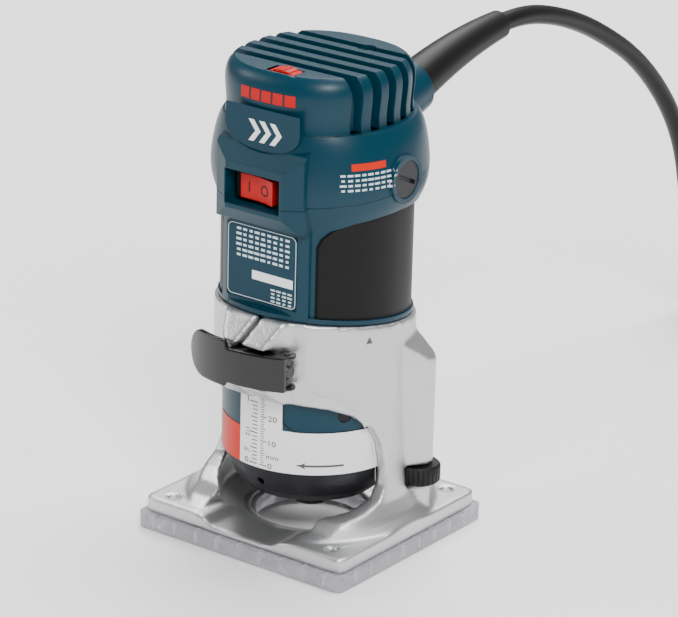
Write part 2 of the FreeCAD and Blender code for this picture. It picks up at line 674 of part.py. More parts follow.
def badge_outline(grow, y0, y1):
    """Shield outline with a curved lower edge."""
    top = BADGE_Z1 + grow
    points = [(-17.0 - grow, top)]
    for i in range(11):
        t = math.pi * (1.0 + i / 10.0)
        points.append((BADGE_X + (17.6 + grow) * math.cos(t), BADGE_Z0 + 8.6 + (8.6 + grow) * math.sin(t)))
    points.append((17.6 + grow, top))
    return prism_y(points, y0, y1)


def badge_plate():
    """Plain shield-shaped plate in the front recess."""
    return badge_outline(0.0, BADGE_Y - 0.4, BADGE_Y - 0.05)


def housing_barrel():
    """Plain barrel that slides in the collar, with the lock hole and the height nut's key slot."""
    angle = math.radians(LOCK_ANGLE)
    lock_axis = V(math.cos(angle), math.sin(angle), 0)
    lock_hole = Part.makeCylinder(LOCK_R + 0.1, 20, V(0, 0, LOCK_Z) + lock_axis * 26.0, lock_axis)
    key = box(BARREL_R - 1.7, 60, -3.1, 3.1, NUT_BLOCK_Z0 - 0.1, NUT_BLOCK_Z0 + NUT_BLOCK_H + 0.1)
    key.rotate(V(0, 0, 0), V(0, 0, 1), math.degrees(math.atan2(ADJ_Y, ADJ_X)))
    tube = ring(BARREL_R, BARREL_R - HOUSING_WALL, CAP_Z1, 110.0).cut(above(RIM_Z + FLANGE_GAP + 1.0,
                                                                            RIM_SLOPE))
    return tube.cut([lock_hole, key])


def front_trims():
    """Flat front of the waist and the pocket in it for the rating plate."""
    trim = box(-30, 30, -60, WAIST_FRONT_Y, 70, WAIST_Z1 - 2.0)
    pocket = box(-PLATE_HALF - 0.1, PLATE_HALF + 0.1, -50, WAIST_FRONT_Y + PLATE_DEPTH, PLATE_Z0 - 0.1,
                 PLATE_Z1 + 0.1)
    return [trim, pocket]


def housing_waist():
    """Waist above the flange, flat in front for the rating plate."""
    inner = BARREL_R - HOUSING_WALL
    above_rim = above(RIM_Z + FLANGE_GAP + 0.5, RIM_SLOPE)
    tube = ring(WAIST_R, inner, 80, SHOULDER_Z0)
    pad = box(-20.5, 20.5, WAIST_FRONT_Y, -24.0, 80, WAIST_Z1).common(ring(FLANGE_R + 0.2, inner, 70,
                                                                           WAIST_Z1 + 1))
    waist = merge([tube, pad]).common(above_rim)
    return waist.cut(front_trims())


def motor_housing(head):
    """Barrel, flange, waist and lower half of the shoulder."""
    inner = BARREL_R - HOUSING_WALL
    flange = ring(FLANGE_R, inner, 60, 120).cut(above(RIM_Z + FLANGE_GAP + FLANGE_H, RIM_SLOPE))
    flange = flange.common(above(RIM_Z + FLANGE_GAP, RIM_SLOPE))
    pockets = grip_pockets()
    lower_head = head.cut(above(SEAM_Z - SEAM_GAP, SEAM_SLOPE)).cut(cyl(inner, 100, SHOULDER_Z0 - 3.0))
    lower_head = lower_head.cut(pockets + front_trims())
    lower = merge([housing_barrel().cut(pockets), flange, housing_waist().cut(pockets)])
    return merge([lower, lower_head])


def grip_sector(side, r_out, r_in, shrink=0.0):
    """One flank of the waist, between the flange and the shoulder."""
    wall = cyl(r_out, 90, SHOULDER_Z0 + 8).cut(cyl(r_in, 80, SHOULDER_Z0 + 9))
    wall = wall.common(above(RIM_Z + FLANGE_GAP + FLANGE_H + shrink, RIM_SLOPE))
    top = GRIP_TOP_Z - shrink
    y0 = GRIP_FRONT_Y + shrink
    outline = [(y0, 80), (y0, top - 11.5), (y0 + 1.0, top - 8.0), (y0 + 3.6, top - 5.0),
               (y0 + 9.0, top - 2.4),
               (y0 + 19.0, top - 0.7), (y0 + 30.0, top), (28.0 - shrink, top - 1.0), (28.0 - shrink, 80)]
    reach = prism_x(outline, min(0, side * 60), max(0, side * 60))
    return wall.common(reach)


def grip_pockets():
    """Recesses that the two rubber grips sit in."""
    return [grip_sector(side, SHOULDER_A + 6, WAIST_R - GRIP_T) for side in (-1, 1)]


def grip(side):
    """Rubber side grip, slightly proud of the casing."""
    return grip_sector(side, WAIST_R + GRIP_PROUD, WAIST_R - GRIP_T + 0.02, 0.1)


def rating_plate():
    """Thin rating plate in the flat front of the waist."""
    back = WAIST_FRONT_Y + PLATE_DEPTH
    blank = box(-PLATE_HALF, PLATE_HALF, back - PLATE_T, back, PLATE_Z0, PLATE_Z1)
    corners = [e for e in blank.Edges if abs(e.Length - PLATE_T) < 1e-6]
    return blank.makeFillet(2.4, corners)


def lower_cap():
    """Dark die-cast end cap that closes the barrel and holds the lower bearing."""
    seat_z0 = LOWER_BEARING_Z
    outer = [(13.0, CAP_Z0), (BARREL_R - 15.7, CAP_Z0), (BARREL_R - 9.2, CAP_Z0 + 2.2),
             (BARREL_R - 5.3, CAP_Z0 + 6.0), (BARREL_R - 2.7, CAP_Z0 + 11.0),
             (BARREL_R - 0.3, CAP_Z1 - 0.05), (BARREL_R - HOUSING_WALL - 0.4, CAP_Z1 - 0.05),
             (BARREL_R - 6.1, CAP_Z0 + 10.0), (BARREL_R - 9.7, CAP_Z0 + 6.4), (BARREL_R - 14.7,
                                                                               CAP_Z0 + 4.4),
             (LOWER_BEARING[1] + 3.0, CAP_Z0 + 4.4),
             (LOWER_BEARING[1] + 3.0, seat_z0 + LOWER_BEARING[2]), (LOWER_BEARING[1],
                                                                    seat_z0 + LOWER_BEARING[2]),
             (LOWER_BEARING[1], seat_z0), (13.0, seat_z0)]
    cap = turned(outer)
    return cap.cut(cyl_y(1.6, -40, -20, 0.0, CAP_Z0 + 10.0))


def wrap_label(z0, z1, a0, a1):
    """Patch of the printed wrap, between two heights and two angles in degrees."""
    skin = ring(BARREL_R + LABEL_T, BARREL_R, z0, z1)
    span = math.radians(a1 - a0)
    mid = math.radians(0.5 * (a0 + a1))
    far = 90.0
    half = span / 2
    wedge = prism_z([(0, 0), (far * math.cos(mid - half), far * math.sin(mid - half)),
                     (far * math.cos(mid) / math.cos(half), far * math.sin(mid) / math.cos(half)),
                     (far * math.cos(mid + half), far * math.sin(mid + half))], z0 - 1, z1 + 1)
    return skin.common(wedge)


def scale_label():
    """White wrap with the depth scale on its raised tab."""
    return merge([wrap_label(CAP_Z1 + 0.4, 52.4, -104, -4), wrap_label(CAP_Z1 + 0.4, 68.0, -104, -72)])


def warning_patch():
    """Red patch to the left of the scale."""
    return wrap_label(CAP_Z1 + 0.4, 50.0, -132, -104.3)


def lock_button():
    """Spindle lock button in the barrel."""
    angle = math.radians(LOCK_ANGLE)
    axis = V(math.cos(angle), math.sin(angle), 0)
    pin = Part.makeCylinder(LOCK_R, 7.0, V(0, 0, LOCK_Z) + axis * (BARREL_R - 7.2), axis)
    collar = Part.makeCylinder(LOCK_R + 0.9, 1.2, V(0, 0, LOCK_Z) + axis * (BARREL_R - HOUSING_WALL - 1.8),
                               axis)
    well = Part.makeCylinder(2.3, 4.6, V(0, 0, LOCK_Z) + axis * (BARREL_R - 7.6), axis)
    return merge([pin, collar]).cut(well)


def lock_spring():
    """Return spring behind the lock button, drawn as a plain sleeve."""
    angle = math.radians(LOCK_ANGLE)
    axis = V(math.cos(angle), math.sin(angle), 0)
    r0 = BARREL_R - 11.4
    sleeve = Part.makeCylinder(2.0, 4.0, V(0, 0, LOCK_Z) + axis * r0, axis)
    return sleeve.cut(Part.makeCylinder(1.3, 5.0, V(0, 0, LOCK_Z) + axis * (r0 - 0.5), axis))


def cover_screw():
    """Recessed screw that holds the top cover down."""
    x, y = top_screw_place()
    head = cyl(3.4, TOP_Z - 6.0, TOP_Z - 3.4, x, y)
    shank = cyl(2.0, 156.5, TOP_Z - 6.0, x, y)
    socket = merge([box(x - 1.9, x + 1.9, y - 0.4, y + 0.4, TOP_Z - 5.0, TOP_Z),
                    box(x - 0.4, x + 0.4, y - 1.9, y + 1.9, TOP_Z - 5.0, TOP_Z)])
    return merge([head, shank]).cut(socket)


# ------------------------------------------------------------------ switch and speed control
def switch_body():
    """Switch block behind the window."""
    half = WINDOW_W / 2 - 1.0
    block = box(SWITCH_X - half, SWITCH_X + half, BROW_Y + 6.0, BROW_Y + 23.0, WINDOW_Z0 + 0.6,
                WINDOW_Z1 - 0.6)
    mid = 0.5 * (WINDOW_Z0 + WINDOW_Z1)
    well = box(SWITCH_X - ROCKER_W / 2 - 0.8, SWITCH_X + ROCKER_W / 2 + 0.8, -60, BROW_Y + 16.0,
               mid - ROCKER_H / 2 - 0.3,
               mid + ROCKER_H / 2 + 0.3)
    axle = cyl(ROCKER_AXLE_R, WINDOW_Z0 + 1.0, WINDOW_Z1 - 1.0, SWITCH_X, ROCKER_PIVOT_Y)
    return merge([block.cut(well), axle])


def switch_rocker():
    """Rocker with a dished face, tipping about an upright axis."""
    mid = 0.5 * (WINDOW_Z0 + WINDOW_Z1)
    half = ROCKER_W / 2
    plan = [(SWITCH_X - half, ROCKER_Y + 1.2), (SWITCH_X - half * 0.5, ROCKER_Y + 1.4),
            (SWITCH_X, ROCKER_Y + 1.3),
            (SWITCH_X + half * 0.5, ROCKER_Y + 0.6), (SWITCH_X + half, ROCKER_Y - 0.6),
            (SWITCH_X + half - 0.8, ROCKER_PIVOT_Y), (SWITCH_X + 3.0, ROCKER_PIVOT_Y + 4.4),
            (SWITCH_X - 3.0, ROCKER_PIVOT_Y + 4.4), (SWITCH_X - half + 0.8, ROCKER_PIVOT_Y)]
    rocker = prism_z(plan, mid - ROCKER_H / 2, mid + ROCKER_H / 2)
    return rocker.cut(cyl(ROCKER_AXLE_R + PIN_GAP, 100, 200, SWITCH_X, ROCKER_PIVOT_Y))


def speed_dial():
    """Red speed thumbwheel, its rim just proud of the crown."""
    y1 = DIAL_Y0 + DIAL_T
    wheel = cyl_y(DIAL_R, DIAL_Y0, y1, DIAL_X, DIAL_Z)
    count = 30
    notches = [cyl_y(0.45, DIAL_Y0 - 1, y1 + 1, DIAL_X + (DIAL_R + 0.1) * math.cos(2 * math.pi * i / count),
                     DIAL_Z + (DIAL_R + 0.1) * math.sin(2 * math.pi * i / count)) for i in range(count)]
    return wheel.cut(notches).cut(cyl_y(2.0 + PIN_GAP, DIAL_Y0 - 1, y1 + 1, DIAL_X, DIAL_Z))


def speed_module():
    """Speed control board in its case, with the spindle that carries the dial."""
    y0 = DIAL_Y0 + DIAL_T + 1.2
    case = box(DIAL_X - 14.0, DIAL_X + 12.0, y0, y0 + 9.0, DIAL_Z - 10.1, DIAL_Z + 3.4)
    post = cyl_y(2.0, DIAL_Y0 + 0.4, y0, DIAL_X, DIAL_Z)
    return merge([case, post])


# ------------------------------------------------------------------ rotor
def spindle():
    """Steel spindle: threaded open nose with a taper seat, bearing seats and a long shaft."""
    z1 = NOSE_Z0 + NOSE_H
    lb_in = LOWER_BEARING[0]
    ub_in = UPPER_BEARING[0]
    lb_top = LOWER_BEARING_Z + LOWER_BEARING[2]
    profile = [(0, NOSE_Z0), (NOSE_R - 0.5, NOSE_Z0), (NOSE_R, NOSE_Z0 + 0.6), (NOSE_R, z1),
               (lb_in, z1 + 1.0),
               (lb_in, lb_top), (SHAFT_R, lb_top), (SHAFT_R, COMMUTATOR_Z0 + COMMUTATOR_H + 1),
               (ub_in, COMMUTATOR_Z0 + COMMUTATOR_H + 1), (ub_in, UPPER_BEARING_Z + UPPER_BEARING[2] + 0.5),
               (0, UPPER_BEARING_Z + UPPER_BEARING[2] + 0.5)]
    body = turned(profile)
    socket = merge([cone(5.4, SHANK_BORE_R, NOSE_Z0 - 0.01, NOSE_Z0 + 12.0),
                    cyl(SHANK_BORE_R, NOSE_Z0, NOSE_Z0 + 26)])
    return body.cut(socket)


def bearing_ring(bearing, z0, outer):
    """Outer or inner race of a ball bearing, with a half-round ball track."""
    r_in, r_out, width = bearing
    span = r_out - r_in
    pitch = 0.5 * (r_in + r_out)
    ball = 0.27 * span
    if outer:
        race = ring(r_out, r_out - 0.3 * span, z0, z0 + width)
    else:
        race = ring(r_in + 0.3 * span, r_in, z0, z0 + width)
    track = Part.makeTorus(pitch, ball + 0.08, V(0, 0, z0 + width / 2))
    return race.cut(track)


def bearing_balls(bearing, z0):
    """Balls of one bearing."""
    r_in, r_out, width = bearing
    pitch = 0.5 * (r_in + r_out)
    ball = 0.27 * (r_out - r_in)
    count = 8
    return group([Part.makeSphere(ball, V(pitch * math.cos(2 * math.pi * i / count),
                                          pitch * math.sin(2 * math.pi * i / count), z0 + width / 2))
                  for i in range(count)])


def armature_core():
    """Laminated armature stack with winding slots."""
    core = ring(ARMATURE_R, SHAFT_R, STACK_Z0, STACK_Z0 + STACK_H)
    count = 12
    slots = []
    for i in range(count):
        a = 360.0 * i / count
        slot = box(ARMATURE_R - 6.5, ARMATURE_R + 1, -1.1, 1.1, STACK_Z0 - 1, STACK_Z0 + STACK_H + 1)
        slot.rotate(V(0, 0, 0), V(0, 0, 1), a)
        slots.append(slot)
    return core.cut(slots)


def armature_winding():
    """End turns of the armature winding, one bundle each end."""
    ends = []
    for z0, z1 in ((STACK_Z0 - 9.0, STACK_Z0), (STACK_Z0 + STACK_H, STACK_Z0 + STACK_H + 12.0)):
        bundle = ring(ARMATURE_R - 1.4, SHAFT_R, z0, z1)
        least = 2 * math.pi * (ARMATURE_R - 2)
        rims = [e for e in bundle.Edges if len(e.Vertexes) == 1 and e.Length > least]
        ends.append(bundle.makeFillet(3.0, rims))
    return group(ends)


def commutator():
    """Commutator with slots between the bars."""
    body = ring(COMMUTATOR_R, SHAFT_R, COMMUTATOR_Z0, COMMUTATOR_Z0 + COMMUTATOR_H)
    slots = []
    for i in range(24):
        slot = box(COMMUTATOR_R - 0.8, COMMUTATOR_R + 1, -0.25, 0.25, COMMUTATOR_Z0 + 1,
                   COMMUTATOR_Z0 + COMMUTATOR_H + 1)
        slot.rotate(V(0, 0, 0), V(0, 0, 1), 15.0 * i + 7.5)
        slots.append(slot)
    return body.cut(slots)


def cooling_fan():
    """Radial fan above the lower bearing."""
    hub = ring(9.0, SHAFT_R, FAN_Z0, FAN_Z0 + FAN_H)
    disc = ring(FAN_R, SHAFT_R, FAN_Z0 + FAN_H - 1.6, FAN_Z0 + FAN_H)
    blades = []
    for i in range(11):
        blade = box(8.5, FAN_R - 0.4, -0.7, 0.7, FAN_Z0, FAN_Z0 + FAN_H - 1.0)
        blade.rotate(V(8.5, 0, 0), V(0, 0, 1), 16)
        blade.rotate(V(0, 0, 0), V(0, 0, 1), 360.0 * i / 11)
        blades.append(blade)
    return merge([hub, disc] + blades).common(cyl(FAN_R, FAN_Z0, FAN_Z0 + FAN_H))


# ------------------------------------------------------------------ stator and brush gear
def stator_core():
    """Laminated field stack that fits the barrel."""
    r_out = BARREL_R - HOUSING_WALL
    stack = ring(r_out, ARMATURE_R + AIR_GAP, STACK_Z0, STACK_Z0 + STACK_H)
    pockets = []
    for side in (-1, 1):
        x0, x1 = sorted((side * 9.0, side * (r_out - 9.2)))
        for sy in (-1, 1):
            y0, y1 = sorted((sy * (r_out - 20.2), sy * (r_out - 11.2)))
            pockets.append(box(x0, x1, y0, y1, STACK_Z0 - 1, STACK_Z0 + STACK_H + 1))
    return stack.cut(pockets)


def field_coils():
    """Two field coils lying in the stator pockets."""
    r_out = BARREL_R - HOUSING_WALL
    half = r_out - 9.8
    coils = []
    for sy in (-1, 1):
        y0, y1 = sorted((sy * (r_out - 15.0), sy * (r_out - 11.6)))
        outer = box(-half, half, y0, y1, STACK_Z0 - 7.0, STACK_Z0 + STACK_H + 7.0)
        hole = box(-9.4, 9.4, y0 - 1, y1 + 1, STACK_Z0 - 0.6, STACK_Z0 + STACK_H + 0.6)
        coils.append(outer.cut(hole))
    return group(coils)


def air_baffle():
    """Ring that guides cooling air into the fan."""
    z0 = FAN_Z0 + FAN_H + 1.2
    return ring(BARREL_R - HOUSING_WALL, FAN_R - 8.0, z0, z0 + 2.0)


def bearing_bracket():
    """Plastic bridge that carries the upper bearing and the brush holders."""
    z0 = UPPER_BEARING_Z - 1.6
    r_sleeve = UPPER_BEARING[1] + 1.6
    disc = ring(BARREL_R - 7.7, 7.0, z0 - 1.6, z0)
    seat = ring(r_sleeve + 2.4, r_sleeve, z0, UPPER_BEARING_Z + UPPER_BEARING[2])
    x, y = top_screw_place()
    return merge([disc, seat]).cut(cyl(2.1, 140, 200, x, y))


def bearing_sleeve():
    """Rubber sleeve between the upper bearing and its seat."""
    return ring(UPPER_BEARING[1] + 1.6, UPPER_BEARING[1], UPPER_BEARING_Z - 1.6 + 0.02,
                UPPER_BEARING_Z + UPPER_BEARING[2])


def brush_piece(side, x0, x1, half_y, half_z):
    """Block on the brush axis between two distances from the spindle."""
    low, high = sorted((side * x0, side * x1))
    return box(low, high, BRUSH_Y - half_y, BRUSH_Y + half_y, BRUSH_Z - half_z, BRUSH_Z + half_z)


def brush_holders():
    """Two brass tubes that guide the brushes."""
    return group([brush_piece(side, COMMUTATOR_R + 1.6, CAP_FACE_X - 5.0, 4.2, 5.0).cut(
        brush_piece(side, 0, 50, 3.2, 4.0)) for side in (-1, 1)])


def carbon_brushes():
    """Two carbon brushes resting on the commutator."""
    brushes = []
    for side in (-1, 1):
        brush = brush_piece(side, COMMUTATOR_R - 2.0, 24.0, 3.1, 3.9)
        brushes.append(brush.cut(cyl(COMMUTATOR_R + 0.05, 120, 180)))
    return group(brushes)


def brush_springs():
    """Two brush springs, drawn as plain sleeves."""
    springs = []
    for side in (-1, 1):
        low, high = sorted((side * 24.0, side * (CAP_FACE_X - CAP_T - 0.2)))
        sleeve = cyl_x(2.6, low, high, BRUSH_Y, BRUSH_Z)
        springs.append(sleeve.cut(cyl_x(1.9, low - 1, high + 1, BRUSH_Y, BRUSH_Z)))
    return group(springs)


def brush_caps():
    """Two slotted screw caps over the brushes."""
    caps = []
    for side in (-1, 1):
        face = side * CAP_FACE_X
        low, high = sorted((side * (CAP_FACE_X - CAP_T), face))
        cap = cyl_x(CAP_R, low, high, BRUSH_Y, BRUSH_Z)
        slot = box(min(face, face - side * 1.2) - 0.01, max(face, face - side * 1.2) + 0.01, BRUSH_Y - 5.6,
                   BRUSH_Y + 5.6, BRUSH_Z - 0.8, BRUSH_Z + 0.8)
        slot.rotate(V(0, BRUSH_Y, BRUSH_Z), V(1, 0, 0), -25.0)
        caps.append(cap.cut(slot))
    return group(caps)


# ------------------------------------------------------------------ cord
def cord_boot():
    """Tapered rubber strain relief that bends down a little towards its tip."""
    start = V(*BOOT_START)
    end = V(*CORD_EXIT)
    inner = start - boot_axis() * 16.0
    root = Part.makeCylinder(BOOT_R0, 16.0, inner, boot_axis())
    middle = (start + end) * 0.5 + V(0, 0, 1.9)
    spine = Part.Wire([Part.Arc(start, middle, end).toShape()])
    tangent0 = spine.Edges[0].tangentAt(spine.Edges[0].FirstParameter)
    tangent1 = spine.Edges[0].tangentAt(spine.Edges[0].LastParameter)
    rings = [Part.Wire([Part.makeCircle(BOOT_R0, start, tangent0)]),
             Part.Wire([Part.makeCircle(BOOT_R1, end, tangent1)])]
    horn = spine.makePipeShell(rings, True, False)
    return merge([root, horn])


def cord_clamp():
    """Plastic bar that holds the cord inside the cover."""
    z0 = UPPER_BEARING_Z - 1.6
    return box(-11.0, 11.0, 20.6, 26.0, z0, z0 + 9.0).cut(cyl_y(CORD_R, 15, 40, 0.0, z0 + 4.5))


def route_wire(points):
    """Straight runs joined by the largest even arcs, and the arcs' radii."""
    pts = [V(*p) for p in points]
    edges = []
    radii = []
    last = pts[0]
    for i in range(1, len(pts) - 1):
        back = pts[i - 1] - pts[i]
        ahead = pts[i + 1] - pts[i]
        run = min(back.Length, ahead.Length)
        turn = math.pi - back.getAngle(ahead)
        radius = 0.45 * run / math.tan(turn / 2)
        trim = 0.45 * run
        enter = pts[i] + back.normalize() * trim
        leave = pts[i] + ahead.normalize() * trim
        bisector = (back + ahead).normalize()
        centre = pts[i] + bisector * (radius / math.cos(turn / 2))
        top = centre - bisector * radius
        edges.append(Part.LineSegment(last, enter).toShape())
        edges.append(Part.Arc(enter, top, leave).toShape())
        radii.append(radius)
        last = leave
    edges.append(Part.LineSegment(last, pts[-1]).toShape())
    return Part.Wire(edges), radii


def cord_tube(points):
    """Round tube along a route."""
    wire, radii = route_wire(points)
    first = V(*points[1]) - V(*points[0])
    ring_wire = Part.Wire([Part.makeCircle(CORD_R, V(*points[0]), first)])
    tube = wire.makePipeShell([ring_wire], True, False)
    expected = math.pi * CORD_R ** 2 * wire.Length
    print("cord length %.1f radii %s volume ratio %.4f" % (wire.Length, [round(r, 1) for r in radii],
                                                           tube.Volume / expected))
    return tube


def coil_bounds():
    """Inner radius, outer radius and height of the coiled cord."""
    half = COIL_COLUMNS * CORD_R
    return COIL_MEAN_R - half, COIL_MEAN_R + half, 2 * CORD_R * COIL_LAYERS


def cord_coil():
    """The put-away length of cord as one closed ring."""
    r_in, r_out, height = coil_bounds()
    body = cyl(r_out, 0, height, COIL_X, COIL_Y).cut(cyl(r_in, -1, height + 1, COIL_X, COIL_Y))
    rims = [e for e in body.Edges if len(e.Vertexes) == 1 and e.Length > 6 * r_in - 8]
    return body.makeFillet(CORD_R - 0.4, [e for e in rims if e.Curve.TypeId == "Part::GeomCircle"])


def cord_tie():
    """Strap round the coil's section, on the side nearest the tool."""
    r_in, r_out, height = coil_bounds()
    y0 = COIL_Y - r_out - TIE_T
    y1 = COIL_Y - r_in + TIE_T
    x0 = COIL_X - TIE_W / 2
    x1 = COIL_X + TIE_W / 2
    outer = box(x0, x1, y0, y1, 0.0, height + TIE_T)
    return outer.cut(box(x0 - 1, x1 + 1, y0 + TIE_T, y1 - TIE_T + 0.3, -1, height))


def plug_frame():
    """Start point and direction of the plug."""
    end = V(*TAIL[-1])
    return end, (end - V(*TAIL[-2])).normalize()


def plug_body():
    """Moulded plug body with a tapered grip."""
    start, axis = plug_frame()
    neck = Part.makeCone(CORD_R + 0.6, 8.0, 12.0, start, axis)
    body = Part.makeCylinder(8.0, PLUG_L - 12.0, start + axis * 12.0, axis)
    return merge([neck, body])


def plug_blades():
    """Two flat plug blades."""
    start, axis = plug_frame()
    side = V(-axis.y, axis.x, 0)
    blades = []
    for s in (-1, 1):
        blade = Part.makeBox(16.0, 1.5, 6.3)
        blade.translate(V(0, -0.75, -3.15))
        blade.rotate(V(0, 0, 0), V(0, 0, 1), math.degrees(math.atan2(axis.y, axis.x)))
        blade.translate(start + axis * PLUG_L + side * (6.35 * s))
        blades.append(blade)
    return group(blades)


# ------------------------------------------------------------------ export
def all_parts():
    """Every node by name."""
    head = head_shell()
    return {
        "sole_plate": sole_plate(),
        "sole_screws": sole_screws(),
        "base_casting": base_casting(),
        "clamp_lever": clamp_lever(),
        "lever_pin": lever_pin(),
        "draw_bolt": draw_bolt(),
        "bolt_nut": bolt_nut(),
        "height_wheel": height_wheel(),
        "height_screw": height_screw(),
        "height_nut": height_nut(),
        "motor_housing": motor_housing(head),
        "top_cover": top_cover(head),
        "grip_right": grip(1),
        "grip_left": grip(-1),
        "rating_plate": rating_plate(),
        "badge_plate": badge_plate(),
        "scale_label": scale_label(),
        "warning_patch": warning_patch(),
        "lower_cap": lower_cap(),
        "lock_button": lock_button(),
        "lock_spring": lock_spring(),
        "cover_screw": cover_screw(),
        "switch_body": switch_body(),
        "switch_rocker": switch_rocker(),
        "speed_dial": speed_dial(),
        "speed_module": speed_module(),
        "spindle": spindle(),
        "armature_core": armature_core(),
        "armature_winding": armature_winding(),
        "commutator": commutator(),
        "cooling_fan": cooling_fan(),
        "lower_bearing_outer": bearing_ring(LOWER_BEARING, LOWER_BEARING_Z, True),
        "lower_bearing_inner": bearing_ring(LOWER_BEARING, LOWER_BEARING_Z, False),
        "lower_bearing_balls": bearing_balls(LOWER_BEARING, LOWER_BEARING_Z),
        "upper_bearing_outer": bearing_ring(UPPER_BEARING, UPPER_BEARING_Z, True),
        "upper_bearing_inner": bearing_ring(UPPER_BEARING, UPPER_BEARING_Z, False),
        "upper_bearing_balls": bearing_balls(UPPER_BEARING, UPPER_BEARING_Z),
        "stator_core": stator_core(),
        "field_coils": field_coils(),
        "air_baffle": air_baffle(),
        "bearing_bracket": bearing_bracket(),
        "bearing_sleeve": bearing_sleeve(),
        "brush_holders": brush_holders(),
        "carbon_brushes": carbon_brushes(),
        "brush_springs": brush_springs(),
        "brush_caps": brush_caps(),
        "cord_boot": cord_boot(),
        "cord_clamp": cord_clamp(),
        "power_cord": cord_tube(ROUTE),
        "cord_coil": cord_coil(),
        "cord_tie": cord_tie(),
        "cord_tail": cord_tube(TAIL),
        "plug_body": plug_body(),
        "plug_blades": plug_blades(),
    }


def main():
    """Write one STEP file for each node."""
    os.makedirs("parts", exist_ok=True)
    for name, shape in all_parts().items():
        print("%-20s valid %s solids %d volume %.0f" % (name, shape.isValid(), len(shape.Solids),
                                                        shape.Volume))
        shape.exportStep("parts/%s.step" % name)


if __name__ == "__main__":
    main()
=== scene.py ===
"""Looks of the palm router: finishes, print, cast skin, knurls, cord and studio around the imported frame."""
import logging
import math
from dataclasses import dataclass
from enum import Enum
from typing import Callable, Iterable, Optional, Sequence

import bmesh
import bpy
from mathutils import Matrix, Vector
from mathutils.bvhtree import BVHTree


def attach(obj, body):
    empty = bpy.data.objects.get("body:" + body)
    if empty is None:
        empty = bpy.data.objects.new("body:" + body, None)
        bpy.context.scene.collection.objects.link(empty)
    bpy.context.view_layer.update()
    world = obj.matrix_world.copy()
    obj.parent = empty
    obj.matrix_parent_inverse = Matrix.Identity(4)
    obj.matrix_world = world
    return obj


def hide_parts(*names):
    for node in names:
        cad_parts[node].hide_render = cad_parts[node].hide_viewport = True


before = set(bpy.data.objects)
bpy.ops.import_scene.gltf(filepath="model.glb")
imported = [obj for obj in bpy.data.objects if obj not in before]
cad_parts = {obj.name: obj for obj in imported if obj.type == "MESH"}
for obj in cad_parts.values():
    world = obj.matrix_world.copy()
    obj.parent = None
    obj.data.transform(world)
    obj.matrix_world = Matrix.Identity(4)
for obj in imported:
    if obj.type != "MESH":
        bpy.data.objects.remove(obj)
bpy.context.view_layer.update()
log = logging.getLogger("palm_router")

MM = 0.001
SPINDLE_TO_LABEL = 35.9 * MM      # outer radius of the printed wrap
COLLAR_RADIUS = 39.25 * MM
COAT_ROUGHNESS = 0.15
DRIFT_SCALE = 38.0               # slow colour drift, about 26 mm long

Point = tuple[float, float, float]
Place = Callable[[float, float, float], Vector]


# ---------------------------------------------------------------- colour and nodes
def linear(hex_code: str) -> tuple[float, float, float, float]:
    """Turn an sRGB hex colour into linear light.

    Args:
        hex_code: six hex digits, with or without the hash.

    Returns:
        Linear red, green and blue, and an alpha of one.
    """
    digits = hex_code.lstrip("#")
    values = [int(digits[i:i + 2], 16) / 255 for i in (0, 2, 4)]
    light = [v / 12.92 if v <= 0.04045 else ((v + 0.055) / 1.055) ** 2.4 for v in values]
    return (light[0], light[1], light[2], 1.0)


def add_node(tree: bpy.types.NodeTree, kind: str, inputs: Optional[dict] = None,
             **settings) -> bpy.types.Node:
    """Add one node with its settings, fixed values and links.

    Args:
        tree: shader or geometry tree.
        kind: the node's type name.
        inputs: socket name or index to a value, or to the output socket that feeds it.
        settings: properties of the node itself.

    Returns:
        The new node.
    """
    node = tree.nodes.new(kind)
    for name, value in settings.items():
        setattr(node, name, value)
    for key, value in (inputs or {}).items():
        if isinstance(value, bpy.types.NodeSocket):
            tree.links.new(value, node.inputs[key])
        else:
            node.inputs[key].default_value = value
    return node


class Grain(Enum):
    """How a surface was made, which sets its pattern."""

    MOULDED = "spark-eroded mould"
    BLASTED = "bead-blasted casting"
    TURNED = "turned on a lathe"
    PLAIN = "smooth film or polish"
    WOVEN = "woven strap"


